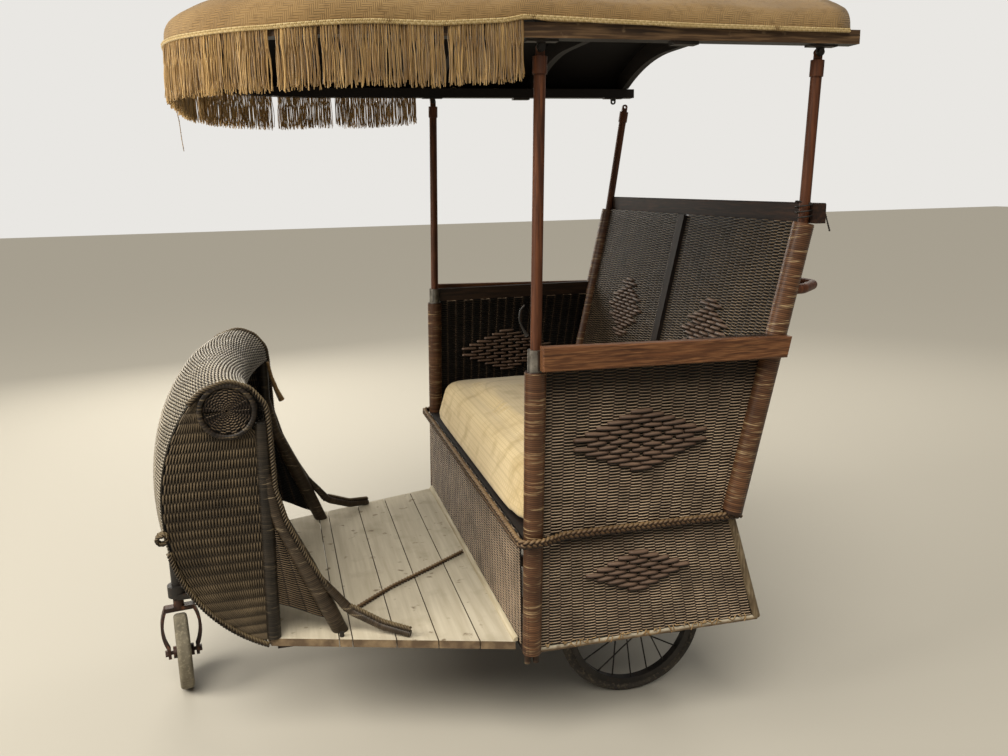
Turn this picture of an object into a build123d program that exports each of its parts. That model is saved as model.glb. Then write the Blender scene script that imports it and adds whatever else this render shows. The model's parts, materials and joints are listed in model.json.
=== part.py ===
from build123d import *
import math
import os

os.makedirs("parts", exist_ok=True)

# A wicker rolling chair for two or three riders: a caned body on two spoked
# rear wheels and one front caster, a scroll-topped dash, and a fringed canopy.
# Millimetres. X points to the dash, Y to the rider's left, Z up from the floor.

# Rear wheels and axle
rear_wheel_r = 219
rear_wheel_y = 448
tyre_section = 26
rim_depth = 16
rim_width = 24
hub_r = 22
hub_length = 74
flange_r = 34
flange_thickness = 5
flange_inset = 6
spoke_count = 20
spoke_r = 2.2
spoke_lead = 62
spoke_spread = 4
spoke_hole_inset = 3
tyre_base_width = 19
axle_r = 10
axle_behind = 370
running_gap = 0.05
nut_r = 17
nut_length = 14
axle_stub = 4
nut_gap = 1
spring_seat = 3
spring_reaches = (0.5, 1.0)

# Front caster
caster_setback = 22
caster_wheel_r = 113
caster_tyre_width = 40
caster_tyre_depth = 22
caster_rim_depth = 14
caster_web_thickness = 10
caster_trail = 40
caster_turn = -82
caster_axle_r = 6
caster_hub_r = 18
caster_hub_length = 60
caster_rim_width = 36
caster_tyre_round = 11
fork_play = 1
fork_gap = 72
fork_bulge = 14
fork_leg_thickness = 9
fork_leg_width = 28
fork_crown_z = 245
fork_crown_height = 14
fork_crown_round = 6
kingpin_r = 10
kingpin_length = 190
kingpin_top_gap = 6
socket_r = 15.5
socket_bottom = 268
socket_collar_r = 28
socket_collar_z = 277
socket_collar_height = 36
socket_top = 500
bolt_head_r = 10
bolt_head_length = 8

# Floor and chassis
floor_top = 312
plank_thickness = 22
plank_gap = 3
floor_gap = 7
floor_half_rear = 640
floor_taper = 0.33
floor_front = 655
floor_seams = (118, 222, 328, 440, 474)
bearer_y = 360
bearer_width = 34
bearer_height = 36
bearer_setback = 20
sill_width = 30
spring_half = 170
spring_width = 38
leaf_thickness = 5
axle_block_length = 44
beam_width = 60
beam_height = 16
beam_rear = 400
bottom_rod_r = 7
rod_drop = 2
sill_ahead = 1

# Seat, posts and back
post_y = 674
post_r_foot = 23
post_r_top = 26
post_lean = 0.0278
foot_bottom = 272
foot_r = 8
foot_spread = 11
wrap_bottom = 300
seat_z = 612
arm_z = 1040
panel_thickness = 10
panel_y = 664
ferrule_r = 20
ferrule_height = 54
back_behind = 560
back_lean = 0.226
back_top = 1371
stake_r = 11
stake_behind = 652
stile_width = 40
stile_thickness = 24
rail_height = 50
rail_thickness = 26
rail_overhang = 38
rail_set_forward = 2
arm_board_thickness = 26
arm_board_height = 60
arm_board_rear_height = 53
arm_board_front_z = 1107
arm_board_drop = 15
arm_board_length = 659
arm_board_start = 4
arm_board_undercut = 11
wood_chamfer = 3
arm_rail_height = 48
arm_rail_lift = 5
arm_rail_inset = 1
front_panel_ahead = 13
deck_thickness = 15
cushion_height = 178
cushion_gap = 4
cushion_back_gap = 15
cushion_front_gap = 1
cushion_round = 40
braid_r = 10
braid_behind = 25
braid_flare = 90
braid_turn = 25
braid_bend_r = 28
diamond_pitch = 12.2
diamond_strip = 8.5
diamond_raise = 3.5
# Diamonds on each side: ahead of the posts, height, half length, rows each way
side_diamonds = {"upper": (-301, 841, 178, 6), "lower": (-297, 486, 165, 4)}
# The diamond on each half of the back: out from the middle, up from the seat, half width, rows each way
back_diamond = (310, 434, 150, 9)
moulding_r = 12
push_bar_r = 13
push_bar_z = 1205
push_bar_bow = 95
push_bar_stub = 20
push_bar_inset = 70
push_bar_bend_r = 26

# Dash
dash_y = 420
dash_half_width = 428
dash_skin = 8
dash_cheek = 8
dash_bow_r = 1790
dash_bulge = 947
dash_foot_angle = 26
dash_roll_ahead = 710
dash_roll_r = 68
dash_roll_wall = 6
roll_gap = 0.3
dash_disc_r = 66
dash_disc_thickness = 12
dash_post_r = 18
dash_post_foot = 641
dash_post_head = 629
dash_post_top = 906
dash_arm_r = 17
dash_tail_r = 9
wing_bend_r = 110
tail_bend_r = 70
plait_r = 7.5
plait_bend_r = 400
dash_disc_round = 4
dash_swing_spare = 1
gusset_top = 650
gusset_low = 418
gusset_foot = 330
# Points of the dash's section at the cheeks: ahead of the posts, height
dash_section = ((655, 290), (878, 559), (872, 833), (792, 983), (611, 907))
# Points of a wing arm and of its tail: ahead of the posts, out from the middle, height
wing_route = ((622, 420, 780), (600, 422, 655), (533, 428, 500), (455, 432, 300))
tail_route = ((515, 437, 475), (440, 448, 375), (360, 485, 335), (290, 525, 321))
# Points of the loose plait on the floor: ahead of the posts, to the left
plait_route = ((437, 352), (300, 222), (170, 128), (43, 30))

# Canopy
pole_r = 13.5
pole_lean = 0.042
tongue_length = 18
collar_r = 16.5
collar_height = 38
pivot_z = 1780
eye_r = 10
eye_thickness = 8
eye_hole_r = 4.5
far_pole_drop = 20
far_pole_lean = 46
canopy_overhang = 48
canopy_front = 790
canopy_rear = 790
canopy_flat_half = 272
canopy_rise = 151
canopy_wall = 13
canopy_shoulder_r = 50
cloth_thickness = 5
cloth_lap = 3
fringe_gap = 0.5
fringe_drop = 124
fringe_start = 10
rim_above_pivot = 15
rim_height = 32
rim_thickness = 44
rim_overhang = 42
bow_depth = 60
bow_thickness = 24
bow_stations = (-790, -430, -60, 300)
lug_length = 74
lug_width = 26
lug_plate = 4
ear_thickness = 6
ear_drop = 10
bolt_r = 4.4
bolt_cap_r = 8
bolt_cap_length = 5
latch_behind = 382
latch_length = 62
latch_width = 31
latch_height = 7

# Derived places
SIDES = (1, -1)
turn = math.radians(caster_turn)
bolt_half = fork_gap / 2 + fork_leg_thickness + bolt_head_length
leg_outer = fork_gap / 2 + fork_leg_thickness + fork_bulge
caster_ahead = dash_bulge - caster_setback
caster_reach = caster_ahead + leg_outer * abs(math.sin(turn))
rear_reach = canopy_rear + rim_overhang
post_x = (rear_reach - caster_reach) / 2
axle_x = post_x - axle_behind
caster_x = post_x + caster_ahead
floor_bottom = floor_top - plank_thickness
bearer_bottom = floor_bottom - bearer_height
front_x = post_x + front_panel_ahead
panel_outer_y = panel_y + panel_thickness / 2
panel_inner_y = panel_y - panel_thickness / 2


def front_post_at(z):
    """X of a front post's axis at height z."""
    return post_x - (z - foot_bottom) * post_lean


def rear_post_at(z):
    """X of a rear post's axis at height z."""
    return post_x - back_behind - (z - seat_z) * back_lean


def stake_at(z):
    """X of a lower rear stake's axis at height z."""
    run = (stake_behind - back_behind) / (seat_z - wrap_bottom)
    return post_x - back_behind - (seat_z - z) * run


def floor_half_at(ahead):
    """Half the floor's width, so far ahead of the front posts."""
    return floor_half_rear - ahead * floor_taper


def dash_post_at(z):
    """X of a dash post's axis at height z."""
    lean = (dash_post_head - dash_post_foot) / (dash_post_top - floor_top)
    return post_x + dash_post_foot + (z - floor_top) * lean


def wing_at(z):
    """X of a wing arm's axis at height z."""
    for high, low in zip(wing_route, wing_route[1:]):
        if z >= low[2]:
            break
    return post_x + low[0] + (high[0] - low[0]) * (z - low[2]) / (high[2] - low[2])


def round_bar(start, end, radius, top_radius=None):
    """A round bar from start to end, tapered where top_radius is given."""
    axis = Vector(*end) - Vector(*start)
    with BuildSketch(Plane(origin=start, z_dir=axis)) as low:
        Circle(radius)
    if top_radius is None:
        extrude(low.sketch, amount=axis.length)
    else:
        with BuildSketch(Plane(origin=end, z_dir=axis)) as high:
            Circle(top_radius)
        loft([low.sketch, high.sketch])


def block(low, high, mode=Mode.ADD):
    """A box between two opposite corners."""
    size = [b - a for a, b in zip(low, high)]
    with Locations(tuple(low)):
        Box(*size, align=(Align.MIN, Align.MIN, Align.MIN), mode=mode)


def swept_bar(points, radii, radius):
    """A round bar along straight runs joined by tangent arcs."""
    with BuildLine() as path:
        FilletPolyline(*points, radius=radii)
    with BuildSketch(Plane(origin=path.line @ 0, z_dir=path.line % 0)) as section:
        Circle(radius)
    sweep(section.sketch, path=path.line)


def side_plate(points, low_y, high_y):
    """A plate with this outline in X and Z, between two Y faces."""
    with BuildSketch(Plane(origin=(0, high_y, 0), x_dir=(1, 0, 0), z_dir=(0, -1, 0))) as outline:
        with BuildLine():
            Polyline(*points, close=True)
        make_face()
    extrude(outline.sketch, amount=high_y - low_y)


def raised_diamond(plane, half_length, rows):
    """A diamond of raised strips on a woven face, each row shorter towards the tips."""
    with BuildSketch(plane) as strips:
        for row in range(-rows, rows + 1):
            with Locations((0, row * diamond_pitch)):
                Rectangle(2 * half_length * (1 - abs(row) / (rows + 1)), diamond_strip)
    extrude(strips.sketch, amount=diamond_raise)


def outer_face(ahead, side, z):
    """The outer face of a side panel, so far ahead of the posts and so high."""
    place = (post_x + ahead, side * panel_outer_y, z)
    return Plane(origin=place, x_dir=(-side, 0, 0), z_dir=(0, side, 0))


def finish(piece, name):
    """Label a piece and write it."""
    piece.label = name
    export_step(piece, f"parts/{name}.step")


# Rear axle with its blocks and springs
axle_end = rear_wheel_y + hub_length / 2 + nut_length + axle_stub
with BuildPart() as rear_axle:
    round_bar((axle_x, -axle_end, rear_wheel_r), (axle_x, axle_end, rear_wheel_r), axle_r)
finish(rear_axle.part, "rear_axle")

block_top = rear_wheel_r + axle_r + spring_seat
with BuildPart() as axle_blocks:
    for side in SIDES:
        with Locations((axle_x, side * bearer_y, rear_wheel_r)):
            Box(axle_block_length, spring_width, 2 * (block_top - rear_wheel_r))
    add(rear_axle.part, mode=Mode.SUBTRACT)
finish(axle_blocks.part, "axle_blocks")

spring_rise = bearer_bottom - block_top - 2 * leaf_thickness
spring_arc_r = (spring_half**2 + spring_rise**2) / (2 * spring_rise)
with BuildPart() as leaf_springs:
    for side in SIDES:
        spring_origin = (axle_x, side * bearer_y - spring_width / 2, block_top + leaf_thickness)
        spring_plane = Plane(origin=spring_origin, x_dir=(1, 0, 0), z_dir=(0, -1, 0))
        for leaf, reach in enumerate(spring_reaches):
            low_r = spring_arc_r + leaf_thickness * (1 - leaf)
            half_sweep = math.degrees(math.asin(reach * spring_half / spring_arc_r))
            with BuildSketch(spring_plane) as band:
                with BuildLine():
                    low = CenterArc((0, spring_arc_r), low_r, 270 - half_sweep, 2 * half_sweep)
                    high = CenterArc(
                        (0, spring_arc_r), low_r - leaf_thickness, 270 - half_sweep, 2 * half_sweep
                    )
                    Line(low @ 0, high @ 0)
                    Line(low @ 1, high @ 1)
                make_face()
            extrude(band.sketch, amount=-spring_width)
finish(leaf_springs.part, "leaf_springs")

# Rear wheels, each one body of hub, spokes, rim and tyre
rim_outer_r = rear_wheel_r - tyre_section
rim_inner_r = rim_outer_r - rim_depth
flange_offset = hub_length / 2 - flange_thickness - flange_inset
for side, hand in ((1, "left"), (-1, "right")):
    wheel_centre = (axle_x, side * rear_wheel_y, rear_wheel_r)
    wheel_plane = Plane(origin=wheel_centre, x_dir=(1, 0, 0), z_dir=(0, 1, 0))
    with BuildPart() as tyre:
        with BuildSketch(Plane(origin=wheel_centre, x_dir=(1, 0, 0), z_dir=(0, 0, 1))):
            with Locations((rear_wheel_r - tyre_section / 2, 0)):
                Circle(tyre_section / 2)
            with Locations((rear_wheel_r - tyre_section * 3 / 4, 0)):
                Rectangle(tyre_section / 2, tyre_base_width)
        revolve(axis=Axis(wheel_centre, (0, 1, 0)))
    finish(tyre.part, f"rear_tyre_{hand}")

    with BuildPart() as rim:
        with BuildSketch(wheel_plane):
            Circle(rim_outer_r)
            Circle(rim_inner_r, mode=Mode.SUBTRACT)
        extrude(amount=rim_width / 2, both=True)
    finish(rim.part, f"rear_rim_{hand}")

    with BuildPart() as hub:
        with BuildSketch(wheel_plane):
            Circle(hub_r)
        extrude(amount=hub_length / 2, both=True)
        for end in SIDES:
            with BuildSketch(wheel_plane.offset(end * flange_offset)):
                Circle(flange_r)
            extrude(amount=flange_thickness / 2, both=True)
        with BuildSketch(wheel_plane.offset(-hub_length)):
            Circle(axle_r + running_gap)
        extrude(amount=2 * hub_length, mode=Mode.SUBTRACT)
    finish(hub.part, f"rear_hub_{hand}")

    with BuildPart() as spokes:
        for index in range(spoke_count):
            end = 1 if index % 2 else -1
            lead = 1 if index % 4 < 2 else -1
            rim_angle = math.radians(index * 360 / spoke_count)
            hub_angle = rim_angle - lead * math.radians(spoke_lead)
            hub_side = flange_offset + lead * (flange_thickness / 2 + spoke_r)
            inner = flange_r - spoke_hole_inset
            start = (inner * math.cos(hub_angle), inner * math.sin(hub_angle), end * hub_side)
            stop = (
                rim_inner_r * math.cos(rim_angle),
                rim_inner_r * math.sin(rim_angle),
                end * (spoke_spread + lead * spoke_r / 2),
            )
            round_bar(
                tuple(wheel_plane.from_local_coords(start)),
                tuple(wheel_plane.from_local_coords(stop)),
                spoke_r,
            )
        add(hub.part, mode=Mode.SUBTRACT)
        add(rim.part, mode=Mode.SUBTRACT)
    finish(spokes.part, f"rear_spokes_{hand}")

with BuildPart() as axle_nuts:
    for side in SIDES:
        nut_y = side * (rear_wheel_y + hub_length / 2 + nut_gap)
        with BuildSketch(Plane(origin=(axle_x, nut_y, rear_wheel_r), z_dir=(0, side, 0))):
            RegularPolygon(nut_r, 6)
            Circle(axle_r, mode=Mode.SUBTRACT)
        extrude(amount=nut_length)
finish(axle_nuts.part, "axle_nuts")

# Chassis: two long bearers, and the beam that holds the caster's socket
with BuildPart() as bearers:
    for side in SIDES:
        block(
            (post_x - stake_behind, side * bearer_y - bearer_width / 2, bearer_bottom),
            (post_x + floor_front - bearer_setback, side * bearer_y + bearer_width / 2, floor_bottom),
        )
finish(bearers.part, "bearers")

with BuildPart() as caster_beam:
    beam_bottom = floor_bottom - beam_height
    block(
        (post_x + beam_rear, -beam_width / 2, beam_bottom),
        (caster_x, beam_width / 2, floor_bottom),
    )
    block(
        (post_x + beam_rear, bearer_width / 2 - bearer_y, beam_bottom),
        (post_x + beam_rear + beam_width, bearer_y - bearer_width / 2, floor_bottom),
    )
    round_bar((caster_x, 0, socket_bottom), (caster_x, 0, socket_top), socket_r)
    round_bar(
        (caster_x, 0, socket_collar_z),
        (caster_x, 0, socket_collar_z + socket_collar_height),
        socket_collar_r,
    )
    with Locations((caster_x, 0, socket_bottom)):
        Cylinder(
            kingpin_r + running_gap,
            kingpin_length + kingpin_top_gap,
            align=(Align.CENTER, Align.CENTER, Align.MIN),
            mode=Mode.SUBTRACT,
        )
finish(caster_beam.part, "caster_beam")

# Caster fork, wheel and axle bolt, turned on the kingpin as it was parked
fork_top = socket_bottom - fork_play
ahead_dir = (math.cos(turn), math.sin(turn), 0)
axle_dir = (-math.sin(turn), math.cos(turn), 0)
back_dir = (-math.cos(turn), -math.sin(turn), 0)
caster_centre = (
    caster_x + caster_trail * back_dir[0],
    caster_trail * back_dir[1],
    caster_wheel_r,
)
leg_plane = Plane(origin=(caster_x, 0, 0), x_dir=axle_dir, z_dir=ahead_dir)
leg_side_plane = Plane(origin=(caster_x, 0, 0), x_dir=back_dir, z_dir=axle_dir)
axle_plane = Plane(origin=caster_centre, z_dir=axle_dir)
crown_mid = fork_crown_z - fork_crown_height / 2
leg_half = fork_leg_width / 2
leg_low = caster_wheel_r - leg_half
leg_bend = caster_wheel_r + leg_half
with BuildPart() as fork_legs:
    for side in SIDES:
        with BuildSketch(leg_plane) as leg:
            with BuildLine():
                faces = []
                for out in (0, fork_leg_thickness):
                    level = side * (fork_gap / 2 + out)
                    belly = side * (fork_gap / 2 + out + fork_bulge)
                    upper = ThreePointArc(
                        (level, crown_mid), (belly, (crown_mid + leg_bend) / 2), (level, leg_bend)
                    )
                    lower = Line((level, leg_bend), (level, leg_low))
                    faces.append((upper @ 0, lower @ 1))
                Line(faces[0][0], faces[1][0])
                Line(faces[0][1], faces[1][1])
            make_face()
        extrude(leg.sketch, amount=2 * caster_trail, both=True)
    with BuildSketch(leg_side_plane) as slant:
        with BuildLine():
            Polyline(
                (-leg_half, crown_mid),
                (leg_half, crown_mid),
                (caster_trail + leg_half, leg_bend),
                (caster_trail + leg_half, leg_low),
                (caster_trail - leg_half, leg_low),
                (caster_trail - leg_half, leg_bend),
                close=True,
            )
        make_face()
    extrude(slant.sketch, amount=2 * fork_gap, both=True, mode=Mode.INTERSECT)

with BuildPart() as caster_fork:
    add(fork_legs.part)
    round_bar((caster_x, 0, crown_mid), (caster_x, 0, fork_top), socket_r)
    round_bar((caster_x, 0, fork_top), (caster_x, 0, socket_bottom + kingpin_length), kingpin_r)
    with BuildSketch(leg_plane) as crown:
        with Locations((0, crown_mid)):
            RectangleRounded(
                fork_gap + 2 * fork_leg_thickness, fork_crown_height, fork_crown_round
            )
    extrude(crown.sketch, amount=leg_half, both=True)
    with BuildSketch(axle_plane) as bolt_hole:
        Circle(caster_axle_r)
    extrude(bolt_hole.sketch, amount=fork_gap, both=True, mode=Mode.SUBTRACT)
finish(caster_fork.part, "caster_fork")

with BuildPart() as caster_bolt:
    with BuildSketch(axle_plane) as shank:
        Circle(caster_axle_r)
    extrude(shank.sketch, amount=bolt_half, both=True)
    for side in SIDES:
        with BuildSketch(axle_plane.offset(side * (fork_gap / 2 + fork_leg_thickness))) as cap:
            RegularPolygon(bolt_head_r, 6)
        extrude(cap.sketch, amount=side * bolt_head_length)
finish(caster_bolt.part, "caster_bolt")

caster_rim_r = caster_wheel_r - caster_tyre_depth
with BuildPart() as caster_tyre:
    with BuildSketch(axle_plane) as ring:
        Circle(caster_wheel_r)
        Circle(caster_rim_r, mode=Mode.SUBTRACT)
    extrude(ring.sketch, amount=caster_tyre_width / 2, both=True)
    fillet(caster_tyre.edges().sort_by(lambda edge: -edge.length)[0:2], caster_tyre_round)
finish(caster_tyre.part, "caster_tyre")

with BuildPart() as caster_wheel:
    with BuildSketch(axle_plane) as ring:
        Circle(caster_rim_r)
        Circle(caster_rim_r - caster_rim_depth, mode=Mode.SUBTRACT)
    extrude(ring.sketch, amount=caster_rim_width / 2, both=True)
    with BuildSketch(axle_plane) as web:
        Circle(caster_rim_r - caster_rim_depth / 2)
    extrude(web.sketch, amount=caster_web_thickness / 2, both=True)
    with BuildSketch(axle_plane) as hub_disc:
        Circle(caster_hub_r)
    extrude(hub_disc.sketch, amount=caster_hub_length / 2, both=True)
    with BuildSketch(axle_plane) as bore:
        Circle(caster_axle_r + running_gap)
    extrude(bore.sketch, amount=fork_gap, both=True, mode=Mode.SUBTRACT)
finish(caster_wheel.part, "caster_wheel")

# Wrapped posts with split feet, ferrules, and the bare poles above them
pole_foot_z = arm_z + ferrule_height
with BuildPart() as front_posts:
    for side in SIDES:
        y = side * post_y
        low = (front_post_at(wrap_bottom), y, wrap_bottom)
        high = (front_post_at(arm_z), y, arm_z)
        round_bar(low, high, post_r_foot, post_r_top)
        for shift in (-foot_spread, foot_spread):
            foot_x = front_post_at(wrap_bottom) + shift
            round_bar((foot_x, y, foot_bottom), (foot_x, y, wrap_bottom + foot_r), foot_r)
finish(front_posts.part, "front_posts")

with BuildPart() as ferrules:
    for side in SIDES:
        y = side * post_y
        low = (front_post_at(arm_z), y, arm_z)
        round_bar(low, (front_post_at(pole_foot_z), y, pole_foot_z), ferrule_r)
finish(ferrules.part, "ferrules")

with BuildPart() as seat_braid:
    braid_side = panel_outer_y + braid_r
    braid_bulge = post_y + post_r_top + braid_r
    braid_front = front_x + panel_thickness + braid_r
    near_side = [
        (post_x - back_behind - braid_behind, braid_side),
        (post_x - braid_flare, braid_side),
        (post_x - braid_turn, braid_bulge),
        (braid_front, braid_bulge),
    ]
    far_side = [(x, -y) for x, y in reversed(near_side)]
    swept_bar([(x, y, seat_z) for x, y in near_side + far_side], braid_bend_r, braid_r)
finish(seat_braid.part, "seat_braid")

rear_post_foot = seat_z + braid_r / 2
with BuildPart() as rear_posts:
    for side in SIDES:
        y = side * post_y
        low = (rear_post_at(rear_post_foot), y, rear_post_foot)
        round_bar(low, (rear_post_at(back_top), y, back_top), post_r_top)
    add(seat_braid.part, mode=Mode.SUBTRACT)
finish(rear_posts.part, "rear_posts")

rear_pivot_x = rear_post_at(back_top) - (pivot_z - back_top) * pole_lean
far_pivot = (rear_pivot_x - far_pole_lean, -post_y, pivot_z - far_pole_drop)
with BuildPart() as poles:
    for foot_x, foot_z, pivot_x, far in (
        (front_post_at(pole_foot_z), pole_foot_z, front_post_at(pivot_z), False),
        (rear_post_at(back_top - pole_r / 2), back_top - pole_r / 2, rear_pivot_x, True),
    ):
        for side in SIDES:
            foot = Vector(foot_x, side * post_y, foot_z)
            pivot = Vector(pivot_x, side * post_y, pivot_z)
            if far and side < 0:
                pivot = Vector(*far_pivot)
            along = (pivot - foot).normalized()
            tip = pivot - along * tongue_length
            round_bar(tuple(foot), tuple(tip), pole_r)
            round_bar(tuple(tip - along * collar_height), tuple(tip), collar_r)
            with BuildSketch(Plane(origin=pivot, x_dir=along, z_dir=(0, -1, 0))) as tongue:
                with Locations((-tongue_length / 2, 0)):
                    Rectangle(tongue_length, 2 * eye_r)
                Circle(eye_r)
                Circle(eye_hole_r, mode=Mode.SUBTRACT)
            extrude(tongue.sketch, amount=eye_thickness / 2, both=True)
    add(rear_posts.part, mode=Mode.SUBTRACT)
finish(poles.part, "poles")

# Sills across the bearers, rods along the foot of the sides, and rear stakes
sill_half = panel_y - bottom_rod_r
rod_z = wrap_bottom - rod_drop
with BuildPart() as rear_stakes:
    for side in SIDES:
        y = side * panel_y
        low = (stake_at(wrap_bottom), y, wrap_bottom)
        round_bar(low, (stake_at(seat_z), y, seat_z), stake_r)
    for other in (seat_braid, rear_posts):
        add(other.part, mode=Mode.SUBTRACT)
finish(rear_stakes.part, "rear_stakes")

with BuildPart() as sills:
    for middle in (post_x + sill_ahead, stake_at(floor_top)):
        block(
            (middle - sill_width / 2, -sill_half, floor_bottom),
            (middle + sill_width / 2, sill_half, floor_top),
        )
    add(front_posts.part, mode=Mode.SUBTRACT)
    add(rear_stakes.part, mode=Mode.SUBTRACT)
finish(sills.part, "sills")

with BuildPart() as bottom_rods:
    for side in SIDES:
        y = side * panel_y
        round_bar((front_post_at(rod_z), y, rod_z), (stake_at(rod_z), y, rod_z), bottom_rod_r)
    add(front_posts.part, mode=Mode.SUBTRACT)
    add(rear_stakes.part, mode=Mode.SUBTRACT)
finish(bottom_rods.part, "bottom_rods")

# Woven sides: the upper panels lean with the back, the lower ones flare behind
panel_foot = rod_z + bottom_rod_r
arm_rail_z = arm_z + arm_rail_lift
with BuildPart() as lower_side_panels:
    for side in SIDES:
        side_plate(
            [
                (front_post_at(panel_foot), panel_foot),
                (stake_at(panel_foot), panel_foot),
                (stake_at(seat_z), seat_z),
                (front_post_at(seat_z), seat_z),
            ],
            side * panel_y - panel_thickness / 2,
            side * panel_y + panel_thickness / 2,
        )
        ahead, height, half_length, rows = side_diamonds["lower"]
        raised_diamond(outer_face(ahead, side, height), half_length, rows)
    for other in (front_posts, rear_stakes, seat_braid):
        add(other.part, mode=Mode.SUBTRACT)
finish(lower_side_panels.part, "lower_side_panels")

with BuildPart() as upper_side_panels:
    for side in SIDES:
        side_plate(
            [
                (front_post_at(seat_z), seat_z),
                (rear_post_at(seat_z), seat_z),
                (rear_post_at(arm_rail_z), arm_rail_z),
                (front_post_at(arm_rail_z), arm_rail_z),
            ],
            side * panel_y - panel_thickness / 2,
            side * panel_y + panel_thickness / 2,
        )
        ahead, height, half_length, rows = side_diamonds["upper"]
        raised_diamond(outer_face(ahead, side, height), half_length, rows)
    for other in (front_posts, ferrules, rear_posts, seat_braid):
        add(other.part, mode=Mode.SUBTRACT)
finish(upper_side_panels.part, "upper_side_panels")

# Arms: a rail between the posts and a wide board outside it
board_inner_y = post_y + post_r_top
with BuildPart() as arm_rails:
    for side in SIDES:
        inner = side * (panel_y + arm_rail_inset)
        outer = side * board_inner_y
        side_plate(
            [
                (front_post_at(arm_rail_z), arm_rail_z),
                (rear_post_at(arm_rail_z), arm_rail_z),
                (rear_post_at(arm_rail_z + arm_rail_height), arm_rail_z + arm_rail_height),
                (front_post_at(arm_rail_z), arm_rail_z + arm_rail_height),
            ],
            min(inner, outer),
            max(inner, outer),
        )
    for other in (front_posts, ferrules, rear_posts):
        add(other.part, mode=Mode.SUBTRACT)
finish(arm_rails.part, "arm_rails")

board_front = front_post_at(arm_z) - arm_board_start
board_rear = board_front - arm_board_length
board_rear_z = arm_board_front_z - arm_board_drop
with BuildPart() as arm_boards:
    for side in SIDES:
        inner = side * board_inner_y
        outer = side * (board_inner_y + arm_board_thickness)
        side_plate(
            [
                (board_front, arm_board_front_z),
                (board_rear, board_rear_z),
                (board_rear + arm_board_undercut, board_rear_z - arm_board_rear_height),
                (board_front, arm_board_front_z - arm_board_height),
            ],
            min(inner, outer),
            max(inner, outer),
        )
    for group in (0, -1):
        rims = arm_boards.edges().filter_by(Axis.Y, reverse=True).group_by(Axis.Y)[group]
        chamfer(rims, wood_chamfer)
finish(arm_boards.part, "arm_boards")

# Seat: front panel with its moulding, deck and cushion
with BuildPart() as front_panel:
    block(
        (front_x, -panel_inner_y, floor_top),
        (front_x + panel_thickness, panel_inner_y, seat_z),
    )
    add(front_posts.part, mode=Mode.SUBTRACT)
    add(seat_braid.part, mode=Mode.SUBTRACT)
finish(front_panel.part, "front_panel")

moulding_half = floor_half_rear - moulding_r
with BuildPart() as seat_moulding:
    moulding_origin = (front_x + panel_thickness, moulding_half, floor_top)
    with BuildSketch(Plane(origin=moulding_origin, x_dir=(1, 0, 0), z_dir=(0, -1, 0))) as quarter:
        Circle(moulding_r)
        Rectangle(moulding_r, moulding_r, align=(Align.MIN, Align.MIN), mode=Mode.INTERSECT)
    extrude(quarter.sketch, amount=2 * moulding_half)
finish(seat_moulding.part, "seat_moulding")

with BuildPart() as rear_panel:
    side_plate(
        [
            (stake_at(floor_top) + panel_thickness / 2, floor_top),
            (stake_at(floor_top) - panel_thickness / 2, floor_top),
            (stake_at(seat_z) - panel_thickness / 2, seat_z),
            (stake_at(seat_z) + panel_thickness / 2, seat_z),
        ],
        -panel_inner_y,
        panel_inner_y,
    )
    add(rear_stakes.part, mode=Mode.SUBTRACT)
finish(rear_panel.part, "rear_panel")

deck_rear = stake_at(seat_z - deck_thickness) + panel_thickness / 2
with BuildPart() as seat_deck:
    block((deck_rear, -panel_inner_y, seat_z - deck_thickness), (front_x, panel_inner_y, seat_z))
    for other in (front_posts, rear_stakes, rear_panel):
        add(other.part, mode=Mode.SUBTRACT)
finish(seat_deck.part, "seat_deck")

cushion_half = post_y - post_r_top - cushion_gap
cushion_rear = rear_post_at(seat_z) + panel_thickness / 2 + cushion_back_gap
with BuildPart() as seat_cushion:
    block(
        (cushion_rear, -cushion_half, seat_z),
        (front_x + panel_thickness + cushion_front_gap, cushion_half, seat_z + cushion_height),
    )
    fillet(seat_cushion.edges(), cushion_round)
finish(seat_cushion.part, "seat_cushion")

# Back: two woven halves beside a stile, a top rail and a push bar behind
back_up = Vector(-back_lean, 0, 1).normalized()
back_origin = (rear_post_at(seat_z), 0, seat_z)
back_plane = Plane(origin=back_origin, x_dir=(0, 1, 0), z_dir=(back_up.Z, 0, -back_up.X))
back_length = (back_top - seat_z) / back_up.Z
with BuildPart() as back_panels:
    for side in SIDES:
        inner = side * stile_width / 2
        outer = side * panel_inner_y
        with BuildSketch(back_plane) as half_back:
            with Locations(((inner + outer) / 2, back_length / 2)):
                Rectangle(abs(outer - inner), back_length)
        extrude(half_back.sketch, amount=panel_thickness / 2, both=True)
        out, up, half_length, rows = back_diamond
        face = Plane(
            origin=back_plane.from_local_coords((side * out, up, panel_thickness / 2)),
            x_dir=back_plane.x_dir,
            z_dir=back_plane.z_dir,
        )
        raised_diamond(face, half_length, rows)
    for other in (rear_posts, rear_stakes, rear_panel, seat_braid):
        add(other.part, mode=Mode.SUBTRACT)
finish(back_panels.part, "back_panels")

with BuildPart() as back_stile:
    with BuildSketch(back_plane) as strip:
        with Locations((0, back_length / 2)):
            Rectangle(stile_width, back_length)
    extrude(strip.sketch, amount=stile_thickness / 2, both=True)
    add(rear_panel.part, mode=Mode.SUBTRACT)
finish(back_stile.part, "back_stile")

with BuildPart() as top_rail:
    rail_front = rear_post_at(back_top) - pole_r + rail_set_forward
    rail_half = post_y + rail_overhang
    block(
        (rail_front - rail_thickness, -rail_half, back_top),
        (rail_front, rail_half, back_top + rail_height),
    )
    chamfer(top_rail.edges().filter_by(Axis.Y).group_by(Axis.Z)[-1], wood_chamfer)
    add(poles.part, mode=Mode.SUBTRACT)
finish(top_rail.part, "top_rail")

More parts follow.
